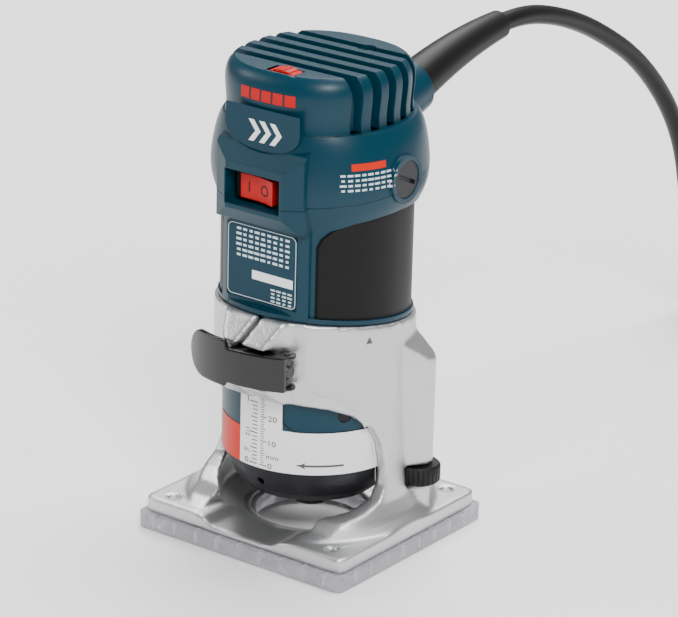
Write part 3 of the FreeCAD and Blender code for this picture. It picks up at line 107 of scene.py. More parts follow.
@dataclass(frozen=True)
class Finish:
    """One real material: its colour, gloss and surface pattern."""

    name: str
    colour: str
    roughness: float
    grain: Grain = Grain.MOULDED
    metallic: float = 0.0
    grain_mm: float = 0.6
    bump: float = 0.12
    variation: float = 0.10
    edge_mm: float = 0.35
    coat: float = 0.0
    ior: float = 1.5
    transmission: float = 0.0
    sheen: float = 0.0
    specular: float = 0.5

    def material(self) -> bpy.types.Material:
        """Give the finish's material, made once.

        Returns:
            The material of this finish.
        """
        known = bpy.data.materials.get(self.name)
        return known if known else self._build()

    def _pattern(self, tree: bpy.types.NodeTree) -> tuple[bpy.types.NodeSocket, bpy.types.NodeSocket]:
        """Make the height pattern and the slow colour drift.

        Args:
            tree: the material's node tree.

        Returns:
            The height and the drift outputs.
        """
        where = add_node(tree, "ShaderNodeTexCoord").outputs["Object"]
        fine = 1.0 / (self.grain_mm * MM)
        if self.grain is Grain.TURNED:
            wave = add_node(tree, "ShaderNodeTexWave",
                            {"Vector": where, "Scale": fine / 6.28, "Distortion": 0.4},
                            bands_direction="Z")
            height = wave.outputs["Fac"]
        elif self.grain is Grain.WOVEN:
            wave = add_node(tree, "ShaderNodeTexWave",
                            {"Vector": where, "Scale": fine / 6.28, "Distortion": 0.2},
                            bands_direction="DIAGONAL")
            height = wave.outputs["Fac"]
        elif self.grain is Grain.BLASTED:
            cells = add_node(tree, "ShaderNodeTexVoronoi",
                             {"Vector": where, "Scale": fine, "Randomness": 1.0},
                             feature="SMOOTH_F1")
            soft = add_node(tree, "ShaderNodeTexNoise",
                            {"Vector": where, "Scale": fine * 0.45, "Detail": 3.0})
            height = add_node(tree, "ShaderNodeMath",
                              {0: cells.outputs["Distance"], 1: soft.outputs["Fac"]},
                              operation="ADD").outputs[0]
        else:
            noise = add_node(tree, "ShaderNodeTexNoise", {"Vector": where, "Scale": fine, "Detail": 4.0,
                                                          "Roughness": 0.6})
            height = noise.outputs["Fac"]
        drift = add_node(tree, "ShaderNodeTexNoise", {"Vector": where, "Scale": DRIFT_SCALE, "Detail": 3.0})
        return height, drift.outputs["Fac"]

    def _build(self) -> bpy.types.Material:
        """Build the node tree."""
        made = bpy.data.materials.new(self.name)
        made.use_nodes = True
        tree = made.node_tree
        tree.nodes.clear()
        height, drift = self._pattern(tree)
        base = linear(self.colour)
        dark = tuple(c * (1 - self.variation) for c in base[:3]) + (1.0,)
        light = tuple(min(1.0, c * (1 + self.variation)) for c in base[:3]) + (1.0,)
        tone = add_node(tree, "ShaderNodeMix", {"Factor": drift, 6: dark, 7: light}, data_type="RGBA")
        gloss = add_node(tree, "ShaderNodeMapRange", {"Value": height, "To Min": self.roughness * 0.88,
                                                      "To Max": min(1.0, self.roughness * 1.14)})
        rounded = add_node(tree, "ShaderNodeBevel", {"Radius": self.edge_mm * MM}, samples=4)
        relief = add_node(tree, "ShaderNodeBump", {"Strength": self.bump,
                                                   "Distance": self.grain_mm * MM * 0.5,
                                                   "Height": height, "Normal": rounded.outputs["Normal"]})
        shader = add_node(tree, "ShaderNodeBsdfPrincipled", {
            "Base Color": tone.outputs[2], "Roughness": gloss.outputs[0], "Metallic": self.metallic,
            "Normal": relief.outputs["Normal"], "IOR": self.ior, "Coat Weight": self.coat,
            "Coat Roughness": COAT_ROUGHNESS,
            "Transmission Weight": self.transmission, "Sheen Weight": self.sheen,
            "Specular IOR Level": self.specular})
        add_node(tree, "ShaderNodeOutputMaterial", {"Surface": shader.outputs["BSDF"]})
        return made


# Glass-filled nylon moulded in an eroded tool: satin teal with a faint grain.
CASING = Finish("glass_filled_nylon_teal", "#02303F", 0.36, grain_mm=0.5, bump=0.10, variation=0.07,
                edge_mm=0.7, specular=0.25)
# Over-moulded thermoplastic rubber: charcoal, matt, fine.
GRIP = Finish("moulded_rubber_charcoal", "#121213", 0.50, grain_mm=0.4, bump=0.22, variation=0.10,
              sheen=0.03, specular=0.15)
# Die-cast aluminium, bead blasted: pale, sparkling and slightly mottled.
CASTING = Finish("bead_blasted_aluminium", "#C6C7C8", 0.35, Grain.BLASTED, 0.92, 0.55, 0.28, 0.05, 0.8)
# Clear polycarbonate with a violet-grey cast; edges pick up light.
CLEAR = Finish("clear_polycarbonate", "#F2EEF5", 0.12, Grain.PLAIN, grain_mm=6.0, bump=0.05, variation=0.04,
               edge_mm=0.5, ior=1.58, transmission=0.72)
# Ribs and bosses inside the clear sole: frosted by the mould.
FROSTED = Finish("frosted_polycarbonate", "#EFEBF1", 0.35, Grain.PLAIN, grain_mm=2.0, bump=0.1, ior=1.58,
                 transmission=0.30)
# Zinc alloy with gloss black enamel.
ENAMEL = Finish("black_enamelled_zinc", "#030303", 0.14, Grain.PLAIN, grain_mm=1.5, bump=0.04, edge_mm=0.6,
                coat=0.25, specular=0.35)
# Black nylon mouldings: wheel, switch block, caps.
NYLON = Finish("black_nylon", "#101011", 0.42, grain_mm=0.5, bump=0.15, specular=0.25)
# Brush caps: dark filled phenolic, slightly brown.
PHENOLIC = Finish("dark_phenolic", "#202125", 0.42, grain_mm=0.6, bump=0.2, specular=0.25)
# Red moulded rocker and dial: bright, semi-gloss.
RED = Finish("red_polycarbonate", "#B40A06", 0.34, grain_mm=0.8, bump=0.05, variation=0.05, edge_mm=0.4,
             specular=0.2)
# Printed polyester film, white.
FILM_WHITE = Finish("white_polyester_film", "#ECECEC", 0.36, Grain.PLAIN, grain_mm=1.2, bump=0.02,
                    variation=0.02,
                    edge_mm=0.1)
# Printed polyester film, red-orange.
FILM_RED = Finish("red_polyester_film", "#CC2409", 0.36, Grain.PLAIN, grain_mm=1.2, bump=0.02,
                  variation=0.03,
                  edge_mm=0.1, specular=0.15)
# Printed polyester film in the casing's colour, a little deeper.
FILM_TEAL = Finish("teal_polyester_film", "#053040", 0.34, Grain.PLAIN, grain_mm=1.2, bump=0.03,
                   edge_mm=0.1, specular=0.2)
# Printing inks.
INK = Finish("black_print_ink", "#161616", 0.5, Grain.PLAIN, bump=0.02, edge_mm=0.05, specular=0.2)
INK_GREY = Finish("grey_print_ink", "#4C4A48", 0.5, Grain.PLAIN, bump=0.02, edge_mm=0.05)
INK_PALE = Finish("pale_print_ink", "#C9D6DC", 0.5, Grain.PLAIN, bump=0.02, edge_mm=0.05)
INK_RED = Finish("red_print_ink", "#B80C0C", 0.4, Grain.PLAIN, bump=0.03, edge_mm=0.15, specular=0.2)
# End cap: die-cast aluminium under a dark coating.
DARK_CAST = Finish("dark_coated_casting", "#2B2B2E", 0.38, Grain.BLASTED, 0.55, 0.6, 0.2, 0.08, 0.6,
                   specular=0.3)
# Black-oxide steel: spindle, draw bolt and pin, with turning marks.
OXIDE = Finish("black_oxide_steel", "#4A4A4C", 0.34, Grain.TURNED, 0.9, 0.4, 0.1, 0.05, 0.25)
# Bright zinc-plated steel.
ZINC = Finish("zinc_plated_steel", "#B9BBBE", 0.30, Grain.TURNED, 1.0, 0.4, 0.06, 0.04, 0.2)
LAMINATION = Finish("stacked_silicon_steel", "#6E6F73", 0.42, Grain.TURNED, 0.9, 0.5, 0.5, 0.05, 0.1)
COPPER = Finish("enamelled_copper_wire", "#A5552B", 0.32, Grain.WOVEN, 0.85, 0.9, 0.7, 0.08, 0.2)
BRASS = Finish("drawn_brass", "#C49A4A", 0.28, Grain.TURNED, 1.0, 0.5, 0.05, 0.04, 0.2)
CARBON = Finish("sintered_carbon", "#222224", 0.7, grain_mm=0.4, bump=0.3)
# Chloroprene cord jacket: black, soft sheen.
JACKET = Finish("chloroprene_jacket", "#0A0A0B", 0.42, grain_mm=0.7, bump=0.12, sheen=0.03, specular=0.2)
BOOT = Finish("moulded_boot_rubber", "#0D0D0E", 0.45, grain_mm=0.5, bump=0.15, sheen=0.03, edge_mm=0.6,
              specular=0.2)
STRAP = Finish("woven_nylon_strap", "#202124", 0.75, Grain.WOVEN, grain_mm=0.8, bump=0.8)

FINISH_NODES: tuple[tuple[Finish, str], ...] = (
    (CLEAR, "sole_plate"),
    (ZINC, "sole_screws bolt_nut height_screw lock_spring lower_bearing_outer "
     "lower_bearing_inner lower_bearing_balls upper_bearing_outer upper_bearing_inner "
     "upper_bearing_balls brush_springs"),
    (CASTING, "base_casting"),
    (ENAMEL, "clamp_lever"),
    (OXIDE, "lever_pin draw_bolt cover_screw spindle"),
    (NYLON, "height_wheel lock_button switch_body speed_module cooling_fan air_baffle "
     "bearing_bracket cord_clamp"),
    (BRASS, "height_nut brush_holders plug_blades"),
    (CASING, "motor_housing top_cover"),
    (GRIP, "grip_right grip_left bearing_sleeve"),
    (FILM_TEAL, "rating_plate badge_plate"),
    (FILM_WHITE, "scale_label"),
    (FILM_RED, "warning_patch"),
    (DARK_CAST, "lower_cap"),
    (RED, "switch_rocker speed_dial"),
    (LAMINATION, "armature_core stator_core"),
    (COPPER, "armature_winding commutator field_coils"),
    (CARBON, "carbon_brushes"),
    (PHENOLIC, "brush_caps"),
    (BOOT, "cord_boot"),
    (JACKET, "power_cord cord_coil cord_tail plug_body"),
    (STRAP, "cord_tie"),
)
NODE_FINISH = {node: finish for finish, nodes in FINISH_NODES for node in nodes.split()}


# ---------------------------------------------------------------- meshes
def new_piece(name: str, mesh: bpy.types.Mesh, finish: Finish, body: str, smooth: bool = False
              ) -> bpy.types.Object:
    """Put a finished mesh in the scene as a piece that rides on a body.

    Args:
        name: the piece's name.
        mesh: its mesh, in place.
        finish: its finish.
        body: CAD body that carries it.
        smooth: shade it smooth all over.

    Returns:
        The new object.
    """
    mesh.materials.clear()
    mesh.materials.append(finish.material())
    if smooth:
        mesh.polygons.foreach_set("use_smooth", [True] * len(mesh.polygons))
    piece = bpy.data.objects.new(name, mesh)
    bpy.context.scene.collection.objects.link(piece)
    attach(piece, body)
    log.info("%s: %d faces on %s", name, len(mesh.polygons), body)
    return piece


def mesh_from(name: str, verts: Sequence, faces: Sequence) -> bpy.types.Mesh:
    """Make a mesh with outward faces.

    Args:
        name: the mesh's name.
        verts: points.
        faces: tuples of point numbers.

    Returns:
        The mesh.
    """
    mesh = bpy.data.meshes.new(name)
    mesh.from_pydata([tuple(v) for v in verts], [], [tuple(f) for f in faces])
    tidy_normals(mesh)
    return mesh


def tidy_normals(mesh: bpy.types.Mesh) -> None:
    """Merge doubles and turn every face outward."""
    work = bmesh.new()
    work.from_mesh(mesh)
    bmesh.ops.remove_doubles(work, verts=work.verts, dist=1e-7)
    bmesh.ops.recalc_face_normals(work, faces=work.faces)
    work.to_mesh(mesh)
    work.free()


def joined(name: str, meshes: Iterable[bpy.types.Mesh]) -> bpy.types.Mesh:
    """Join meshes into one.

    Args:
        name: the new mesh's name.
        meshes: the meshes to join.

    Returns:
        The joined mesh.
    """
    whole = bmesh.new()
    for mesh in meshes:
        whole.from_mesh(mesh)
    result = bpy.data.meshes.new(name)
    whole.to_mesh(result)
    whole.free()
    return result


def moved(mesh: bpy.types.Mesh, matrix: Matrix) -> bpy.types.Mesh:
    """Copy a mesh to another place."""
    copy = mesh.copy()
    copy.transform(matrix)
    return copy


def swept(name: str, path: Sequence[Vector], radius: Callable[[float], float],
          sides: int = 12) -> bpy.types.Mesh:
    """Sweep a round section along a path and close both ends.

    Args:
        name: the mesh's name.
        path: centre points.
        radius: radius at a share of the path from 0 to 1.
        sides: points round the section.

    Returns:
        The closed mesh.
    """
    verts: list[Vector] = []
    faces: list[tuple[int, ...]] = []
    side = Vector((0, 0, 1))
    for i, centre in enumerate(path):
        ahead = (path[min(i + 1, len(path) - 1)] - path[max(i - 1, 0)]).normalized()
        across = ahead.cross(side)
        across = across.normalized() if across.length > 1e-4 else Vector((1, 0, 0))
        over = across.cross(ahead).normalized()
        r = radius(i / (len(path) - 1))
        for k in range(sides):
            t = 2 * math.pi * k / sides
            verts.append(centre + across * (r * math.cos(t)) + over * (r * math.sin(t)))
    for i in range(len(path) - 1):
        for k in range(sides):
            a, b = i * sides + k, i * sides + (k + 1) % sides
            faces.append((a, b, b + sides, a + sides))
    faces.append(tuple(range(sides)))
    faces.append(tuple(len(verts) - sides + k for k in range(sides)))
    return mesh_from(name, verts, faces)


def extruded(name: str, outline: Sequence[tuple[float, float]], place: Place,
             depth: float) -> bpy.types.Mesh:
    """Push a flat outline out to a depth, through a placing rule.

    Args:
        name: the mesh's name.
        outline: (u, v) points in order.
        place: turns (u, v, height) into a point in space.
        depth: how far the piece stands out.

    Returns:
        The closed mesh.
    """
    count = len(outline)
    verts = [place(u, v, 0.0) for u, v in outline] + [place(u, v, depth) for u, v in outline]
    faces: list[tuple[int, ...]] = [tuple(range(count)), tuple(range(2 * count - 1, count - 1, -1))]
    faces += [(i, (i + 1) % count, count + (i + 1) % count, count + i) for i in range(count)]
    return mesh_from(name, verts, faces)


def round_rect(width: float, height: float, corner: float, steps: int = 5) -> list[tuple[float, float]]:
    """Outline of a rectangle with round corners, about its middle."""
    points = []
    for index, (sx, sy) in enumerate(((1, 1), (-1, 1), (-1, -1), (1, -1))):
        for k in range(steps + 1):
            t = math.pi / 2 * (index + k / steps)
            points.append((sx * (width / 2 - corner) + corner * math.cos(t),
                           sy * (height / 2 - corner) + corner * math.sin(t)))
    return points


def frame_outline(name: str, width: float, height: float, corner: float, line: float,
                  place: Place, depth: float) -> bpy.types.Mesh:
    """A raised line round a rounded rectangle.

    Args:
        name: the mesh's name.
        width: outside width.
        height: outside height.
        corner: outside corner radius.
        line: width of the line.
        place: turns (u, v, height) into a point in space.
        depth: how far the line stands out.

    Returns:
        The closed mesh.
    """
    outer = round_rect(width, height, corner)
    inner = round_rect(width - 2 * line, height - 2 * line, corner - line)
    n = len(outer)
    rings = [[place(u, v, h) for u, v in edge] for edge, h in ((outer, 0.0), (outer, depth), (inner, depth),
                                                               (inner, 0.0))]
    verts = [p for ring in rings for p in ring]
    faces = [(a * n + i, a * n + (i + 1) % n, ((a + 1) % 4) * n + (i + 1) % n, ((a + 1) % 4) * n + i)
             for a in range(4) for i in range(n)]
    return mesh_from(name, verts, faces)


def on_barrel(angle_deg: float, z: float, radius: float) -> Place:
    """Placing rule that wraps flat work round the spindle axis.

    Args:
        angle_deg: angle of the flat work's middle.
        z: height of its middle.
        radius: radius of the surface.

    Returns:
        The placing rule; u runs to the right as seen from outside.
    """
    def place(u: float, v: float, h: float) -> Vector:
        """Wrap one point round the axis."""
        t = math.radians(angle_deg) + u / radius
        return Vector(((radius + h) * math.cos(t), (radius + h) * math.sin(t), z + v))
    return place


def on_front(x: float, y: float, z: float) -> Place:
    """Placing rule for flat work on a face that looks to the front."""
    return lambda u, v, h: Vector((x + u, y - h, z + v))


def lettering(text: str, size: float, place: Place, depth: float = 0.05 * MM,
              stretch: float = 1.25, turn: float = 0.0) -> bpy.types.Mesh:
    """Make raised figures and lay them on a surface.

    Args:
        text: the figures.
        size: cap height scale in metres.
        place: placing rule of the surface.
        depth: height of the print.
        stretch: widening of each figure.
        turn: rotation in degrees.

    Returns:
        The placed mesh.
    """
    curve = bpy.data.curves.new("figures", "FONT")
    curve.body = text
    curve.size = size
    curve.align_x = "CENTER"
    curve.align_y = "CENTER"
    curve.extrude = depth / 2
    holder = bpy.data.objects.new("figures", curve)
    bpy.context.scene.collection.objects.link(holder)
    bpy.context.view_layer.update()
    mesh = bpy.data.meshes.new_from_object(holder.evaluated_get(bpy.context.evaluated_depsgraph_get()))
    bpy.data.objects.remove(holder)
    c, s = math.cos(math.radians(turn)), math.sin(math.radians(turn))
    for vert in mesh.vertices:
        u, v, h = vert.co.x * stretch, vert.co.y, vert.co.z + depth / 2
        vert.co = place(u * c - v * s, u * s + v * c, h)
    tidy_normals(mesh)
    return mesh


def placed(mesh: bpy.types.Mesh, place: Place) -> bpy.types.Mesh:
    """Lay flat work (x across, z up, -y outward) on a surface."""
    for vert in mesh.vertices:
        vert.co = place(vert.co.x, vert.co.z, -vert.co.y)
    tidy_normals(mesh)
    return mesh


def cast_on(node: str, centre: Point, heading: float) -> Place:
    """Lay flat work on a CAD node's curved surface.

    Args:
        node: the CAD node.
        centre: a point near the surface, the work's origin.
        heading: outward direction in degrees about the Z axis, from +X.

    Returns:
        A function from across, up and outward distances to a point.
    """
    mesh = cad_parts[node].data
    surface = BVHTree.FromPolygons([v.co for v in mesh.vertices],
                                   [tuple(p.vertices) for p in mesh.polygons])
    outward = Vector((math.cos(math.radians(heading)), math.sin(math.radians(heading)), 0.0))
    across = Vector((-outward.y, outward.x, 0.0))

    def place(u: float, v: float, h: float) -> Vector:
        """Cast one point inward and lift it by its height."""
        start = Vector(centre) + across * u + Vector((0.0, 0.0, v)) + outward * (40 * MM)
        hit = surface.ray_cast(start, -outward)[0]
        return (hit if hit else Vector(centre)) + outward * h
    return place


# ---------------------------------------------------------------- geometry node trees
@dataclass
class Recipe:
    """A geometry node tree with named inputs, run once into a plain mesh."""

    name: str
    sizes: dict[str, tuple[str, object]]

    def run(self, build: Callable[[bpy.types.NodeTree, bpy.types.Node], bpy.types.NodeSocket],
            finish: Finish) -> bpy.types.Mesh:
        """Build the tree, evaluate it and give the plain mesh.

        Args:
            build: adds the nodes and returns the geometry socket.
            finish: finish set at the end of the tree.

        Returns:
            The evaluated mesh.
        """
        tree = bpy.data.node_groups.new(self.name, "GeometryNodeTree")
        tree.interface.new_socket("Geometry", in_out="OUTPUT", socket_type="NodeSocketGeometry")
        keys = {}
        for label, (kind, _) in self.sizes.items():
            keys[label] = tree.interface.new_socket(label, in_out="INPUT", socket_type=kind).identifier
        source = add_node(tree, "NodeGroupInput")
        shape = build(tree, source)
        real = add_node(tree, "GeometryNodeRealizeInstances", {"Geometry": shape})
        dressed = add_node(tree, "GeometryNodeSetMaterial", {"Geometry": real.outputs[0],
                                                             "Material": finish.material()})
        add_node(tree, "NodeGroupOutput", {0: dressed.outputs[0]})
        blank = bpy.data.meshes.new(self.name)
        holder = bpy.data.objects.new(self.name, blank)
        bpy.context.scene.collection.objects.link(holder)
        modifier = holder.modifiers.new("nodes", "NODES")
        modifier.node_group = tree
        for label, (_, value) in self.sizes.items():
            modifier[keys[label]] = value
        bpy.context.view_layer.update()
        mesh = bpy.data.meshes.new_from_object(holder.evaluated_get(bpy.context.evaluated_depsgraph_get()))
        bpy.data.objects.remove(holder)
        tidy_normals(mesh)
        return mesh


def bar_row(name: str, count: int, step: Point, size: Point, finish: Finish) -> bpy.types.Mesh:
    """Equal bars in a straight row, the first at the origin.

    Args:
        name: the tree's name.
        count: number of bars.
        step: offset from one bar to the next.
        size: size of a bar.
        finish: its finish.

    Returns:
        The mesh of the row.
    """
    def build(tree: bpy.types.NodeTree, source: bpy.types.Node) -> bpy.types.NodeSocket:
        """Stand one bar on each point of a line."""
        line = add_node(tree, "GeometryNodeMeshLine", {"Count": source.outputs["Count"],
                                                       "Offset": source.outputs["Step"]})
        bar = add_node(tree, "GeometryNodeMeshCube", {"Size": source.outputs["Bar Size"]})
        return add_node(tree, "GeometryNodeInstanceOnPoints", {"Points": line.outputs[0],
                                                               "Instance": bar.outputs[0]}).outputs[0]
    return Recipe(name, {"Count": ("NodeSocketInt", count), "Step": ("NodeSocketVector", step),
                         "Bar Size": ("NodeSocketVector", size)}).run(build, finish)


def grid_points(tree: bpy.types.NodeTree, source: bpy.types.Node) -> bpy.types.Node:
    """Add the grid whose size and counts are the tree's inputs."""
    return add_node(tree, "GeometryNodeMeshGrid", {
        "Size X": source.outputs["Width"], "Size Y": source.outputs["Height"],
        "Vertices X": source.outputs["Columns"], "Vertices Y": source.outputs["Rows"]})


def print_rows(name: str, columns: int, rows: int, pitch: tuple[float, float], size: Point, seed: int,
               finish: Finish) -> bpy.types.Mesh:
    """Rows of short bars of uneven length that stand for small print, with no letters.

    Args:
        name: the tree's name.
        columns: bars in a row.
        rows: number of rows.
        pitch: distance between bars and between rows.
        size: size of the longest bar.
        seed: fixed seed of the lengths.
        finish: the ink.

    Returns:
        The mesh of the rows, centred.
    """
    def build(tree: bpy.types.NodeTree, source: bpy.types.Node) -> bpy.types.NodeSocket:
        """Stand one bar of uneven length on each point of an upright grid."""
        grid = grid_points(tree, source)
        upright = add_node(tree, "GeometryNodeTransform", {"Geometry": grid.outputs[0],
                                                           "Rotation": (math.pi / 2, 0.0, 0.0)})
        bar = add_node(tree, "GeometryNodeMeshCube", {"Size": source.outputs["Bar Size"]})
        length = add_node(tree, "FunctionNodeRandomValue",
                          {"Seed": source.outputs["Seed"], 0: (0.45, 1.0, 1.0),
                                                            1: (1.0, 1.0, 1.0)}, data_type="FLOAT_VECTOR")
        return add_node(tree, "GeometryNodeInstanceOnPoints", {
            "Points": upright.outputs[0], "Instance": bar.outputs[0], "Scale": length.outputs[0]}).outputs[0]
    return Recipe(name, {"Columns": ("NodeSocketInt", columns), "Rows": ("NodeSocketInt", rows),
                         "Width": ("NodeSocketFloat", pitch[0] * (columns - 1)),
                         "Height": ("NodeSocketFloat", pitch[1] * (rows - 1)),
                         "Bar Size": ("NodeSocketVector", size),
                         "Seed": ("NodeSocketInt", seed)}).run(build, finish)


def knurl_ring(name: str, count: int, radius: float, size: Point, finish: Finish) -> bpy.types.Mesh:
    """Rounded ribs standing round a wheel's rim, about the Z axis.

    Args:
        name: the tree's name.
        count: number of ribs.
        radius: radius of the ribs' middles.
        size: radius of a rib's end, then unused, then its length.
        finish: the finish.

    Returns:
        The mesh of the ring.
    """
    def build(tree: bpy.types.NodeTree, source: bpy.types.Node) -> bpy.types.NodeSocket:
        """Stand one rib on each point of a circle."""
        ring = add_node(tree, "GeometryNodeMeshCircle", {"Vertices": source.outputs["Count"],
                                                         "Radius": source.outputs["Radius"]})
        rib = add_node(tree, "GeometryNodeMeshCylinder",
                       {"Vertices": 10, "Radius": source.outputs["Rib Radius"],
                                                          "Depth": source.outputs["Rib Length"]})
        return add_node(tree, "GeometryNodeInstanceOnPoints", {"Points": ring.outputs[0],
                                                               "Instance": rib.outputs[0]}).outputs[0]
    return Recipe(name, {"Count": ("NodeSocketInt", count), "Radius": ("NodeSocketFloat", radius),
                         "Rib Radius": ("NodeSocketFloat", size[0]),
                         "Rib Length": ("NodeSocketFloat", size[2])}).run(build, finish)


def thread_helix(name: str, radius: float, pitch: float, length: float, depth: float, finish: Finish
                 ) -> bpy.types.Mesh:
    """A screw thread's crest as a ridge that climbs round the Z axis.

    Args:
        name: the tree's name.
        radius: radius of the ridge's middle.
        pitch: rise in one turn.
        length: length of the thread.
        depth: height of the ridge's section.
        finish: the finish.

    Returns:
        The mesh of the thread, from z = 0.
    """
    def build(tree: bpy.types.NodeTree, source: bpy.types.Node) -> bpy.types.NodeSocket:
        """Sweep a square section along a spiral."""
        spiral = add_node(tree, "GeometryNodeCurveSpiral",
                          {"Resolution": 40, "Rotations": source.outputs["Turns"],
                                                            "Start Radius": source.outputs["Radius"],
                                                            "End Radius": source.outputs["Radius"],
                                                            "Height": source.outputs["Length"]})
        section = add_node(tree, "GeometryNodeCurvePrimitiveCircle", {"Resolution": 4,
                                                                      "Radius": source.outputs["Depth"]})
        return add_node(tree, "GeometryNodeCurveToMesh", {"Curve": spiral.outputs[0],
                                                          "Profile Curve": section.outputs[0],
                                                          "Fill Caps": True}).outputs[0]
    return Recipe(name, {"Turns": ("NodeSocketFloat", length / pitch),
                         "Radius": ("NodeSocketFloat", radius),
                         "Length": ("NodeSocketFloat", length), "Depth": ("NodeSocketFloat",
                                                                          depth)}).run(build, finish)


def dot_field(name: str, columns: int, rows: int, pitch: float, radius: float,
              finish: Finish) -> bpy.types.Mesh:
    """Low domes on a grid, the grip texture of a finger pad.

    Args:
        name: the tree's name.
        columns: domes along X.
        rows: domes along Y.
        pitch: distance between domes.
        radius: radius of a dome.
        finish: the finish.

    Returns:
        The mesh of the field, centred.
    """
    def build(tree: bpy.types.NodeTree, source: bpy.types.Node) -> bpy.types.NodeSocket:
        """Set one flattened dome on each point of a grid."""
        grid = grid_points(tree, source)
        dome = add_node(tree, "GeometryNodeMeshIcoSphere", {"Radius": source.outputs["Dome Radius"],
                                                            "Subdivisions": 2})
        return add_node(tree, "GeometryNodeInstanceOnPoints", {
            "Points": grid.outputs[0], "Instance": dome.outputs[0], "Scale": (1.0, 1.0, 0.35)}).outputs[0]
    return Recipe(name, {"Columns": ("NodeSocketInt", columns), "Rows": ("NodeSocketInt", rows),
                         "Width": ("NodeSocketFloat", pitch * (columns - 1)),
                         "Height": ("NodeSocketFloat", pitch * (rows - 1)),
                         "Dome Radius": ("NodeSocketFloat", radius)}).run(build, finish)


def softened(node: str, name: str, voxel: float, passes: int, extra: Sequence[bpy.types.Mesh] = ()
             ) -> bpy.types.Mesh:
    """Copy a CAD node's mesh, with added ridges, and round all its edges as a mould does.

    Args:
        node: the CAD node.
        name: the new mesh's name.
        voxel: size of the remeshing grid.
        passes: smoothing passes.
        extra: closed meshes that grow out of the surface.

    Returns:
        The rounded mesh.
    """
    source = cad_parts[node].data.copy()
    tidy = bmesh.new()
    tidy.from_mesh(source)
    bmesh.ops.remove_doubles(tidy, verts=tidy.verts, dist=1e-7)
    tidy.to_mesh(source)
    tidy.free()
    holder = bpy.data.objects.new(name, joined(name, [source, *extra]))
    bpy.context.scene.collection.objects.link(holder)
    grid = holder.modifiers.new("grid", "REMESH")
    grid.mode = "VOXEL"
    grid.voxel_size = voxel
    ease = holder.modifiers.new("ease", "SMOOTH")
    ease.factor = 0.5
    ease.iterations = passes
    bpy.context.view_layer.update()
    mesh = bpy.data.meshes.new_from_object(holder.evaluated_get(bpy.context.evaluated_depsgraph_get()))
    bpy.data.objects.remove(holder)
    mesh.name = name
    return mesh


# ---------------------------------------------------------------- studio
@dataclass
class Studio:
    """Camera, lights, world and floor."""

    azimuth: float = 36.45
    elevation: float = 20.5
    roll: float = 1.5
    distance: float = 1.352
    lens: float = 184.83
    floor_radius: float = 6.0

    def camera(self) -> None:
        """Place the camera."""
        a, e, roll = (math.radians(v) for v in (self.azimuth, self.elevation, self.roll))
        back = Vector((math.sin(a) * math.cos(e), -math.cos(a) * math.cos(e), math.sin(e)))
        right = Vector((math.cos(a), math.sin(a), 0))
        up = back.cross(right)
        side = right * math.cos(roll) + up * math.sin(roll)
        top = up * math.cos(roll) - right * math.sin(roll)
        where = Vector((0, 0, 0.09006)) + back * self.distance + side * 0.0092
        lens = bpy.data.cameras.new("camera")
        lens.lens = self.lens
        lens.sensor_width = 36.0
        lens.clip_end = 20
        eye = bpy.data.objects.new("camera", lens)
        eye.matrix_world = Matrix((side, top, back)).transposed().to_4x4()
        eye.location = where
        bpy.context.scene.collection.objects.link(eye)
        bpy.context.scene.camera = eye

    def lamp(self, name: str, spot: Point, aim: Point, size: float, power: float) -> None:
        """Add a soft square lamp.

        Args:
            name: its name.
            spot: where it stands.
            aim: the point it looks at.
            size: its side.
            power: its power in watts.
        """
        light = bpy.data.lights.new(name, "AREA")
        light.size = size
        light.energy = power
        holder = bpy.data.objects.new(name, light)
        holder.location = spot
        holder.rotation_euler = (Vector(aim) - Vector(spot)).to_track_quat("-Z", "Y").to_euler()
        bpy.context.scene.collection.objects.link(holder)

    def build(self) -> None:
        """Make the whole studio."""
        self.camera()
        world = bpy.data.worlds.new("studio")
        world.use_nodes = True
        world.node_tree.nodes["Background"].inputs["Color"].default_value = (1, 1, 1, 1)
        world.node_tree.nodes["Background"].inputs["Strength"].default_value = 0.30
        bpy.context.scene.world = world
        paper = Finish("seamless_studio_paper", "#F6F6F6", 0.9, Grain.PLAIN, grain_mm=8.0, bump=0.01,
                       variation=0.01, edge_mm=0.1)
        rim = [(self.floor_radius * math.cos(2 * math.pi * i / 96),
                self.floor_radius * math.sin(2 * math.pi * i / 96),
                -0.0002) for i in range(96)]
        mesh = bpy.data.meshes.new("floor")
        mesh.from_pydata(rim, [], [tuple(range(96))])
        mesh.materials.append(paper.material())
        floor = bpy.data.objects.new("paper_floor", mesh)
        bpy.context.scene.collection.objects.link(floor)
        self.lamp("key", (1.0, -0.9, 1.3), (0, 0, 0.08), 0.6, 34)
        self.lamp("side", (-1.2, -0.7, 0.8), (0, 0, 0.1), 0.4, 7)
        self.lamp("top", (0.1, 0.6, 1.8), (0, 0, 0.1), 0.8, 30)
        self.lamp("floor", (-1.0, 1.4, 1.9), (-0.9, 1.5, 0.0), 1.2, 60)


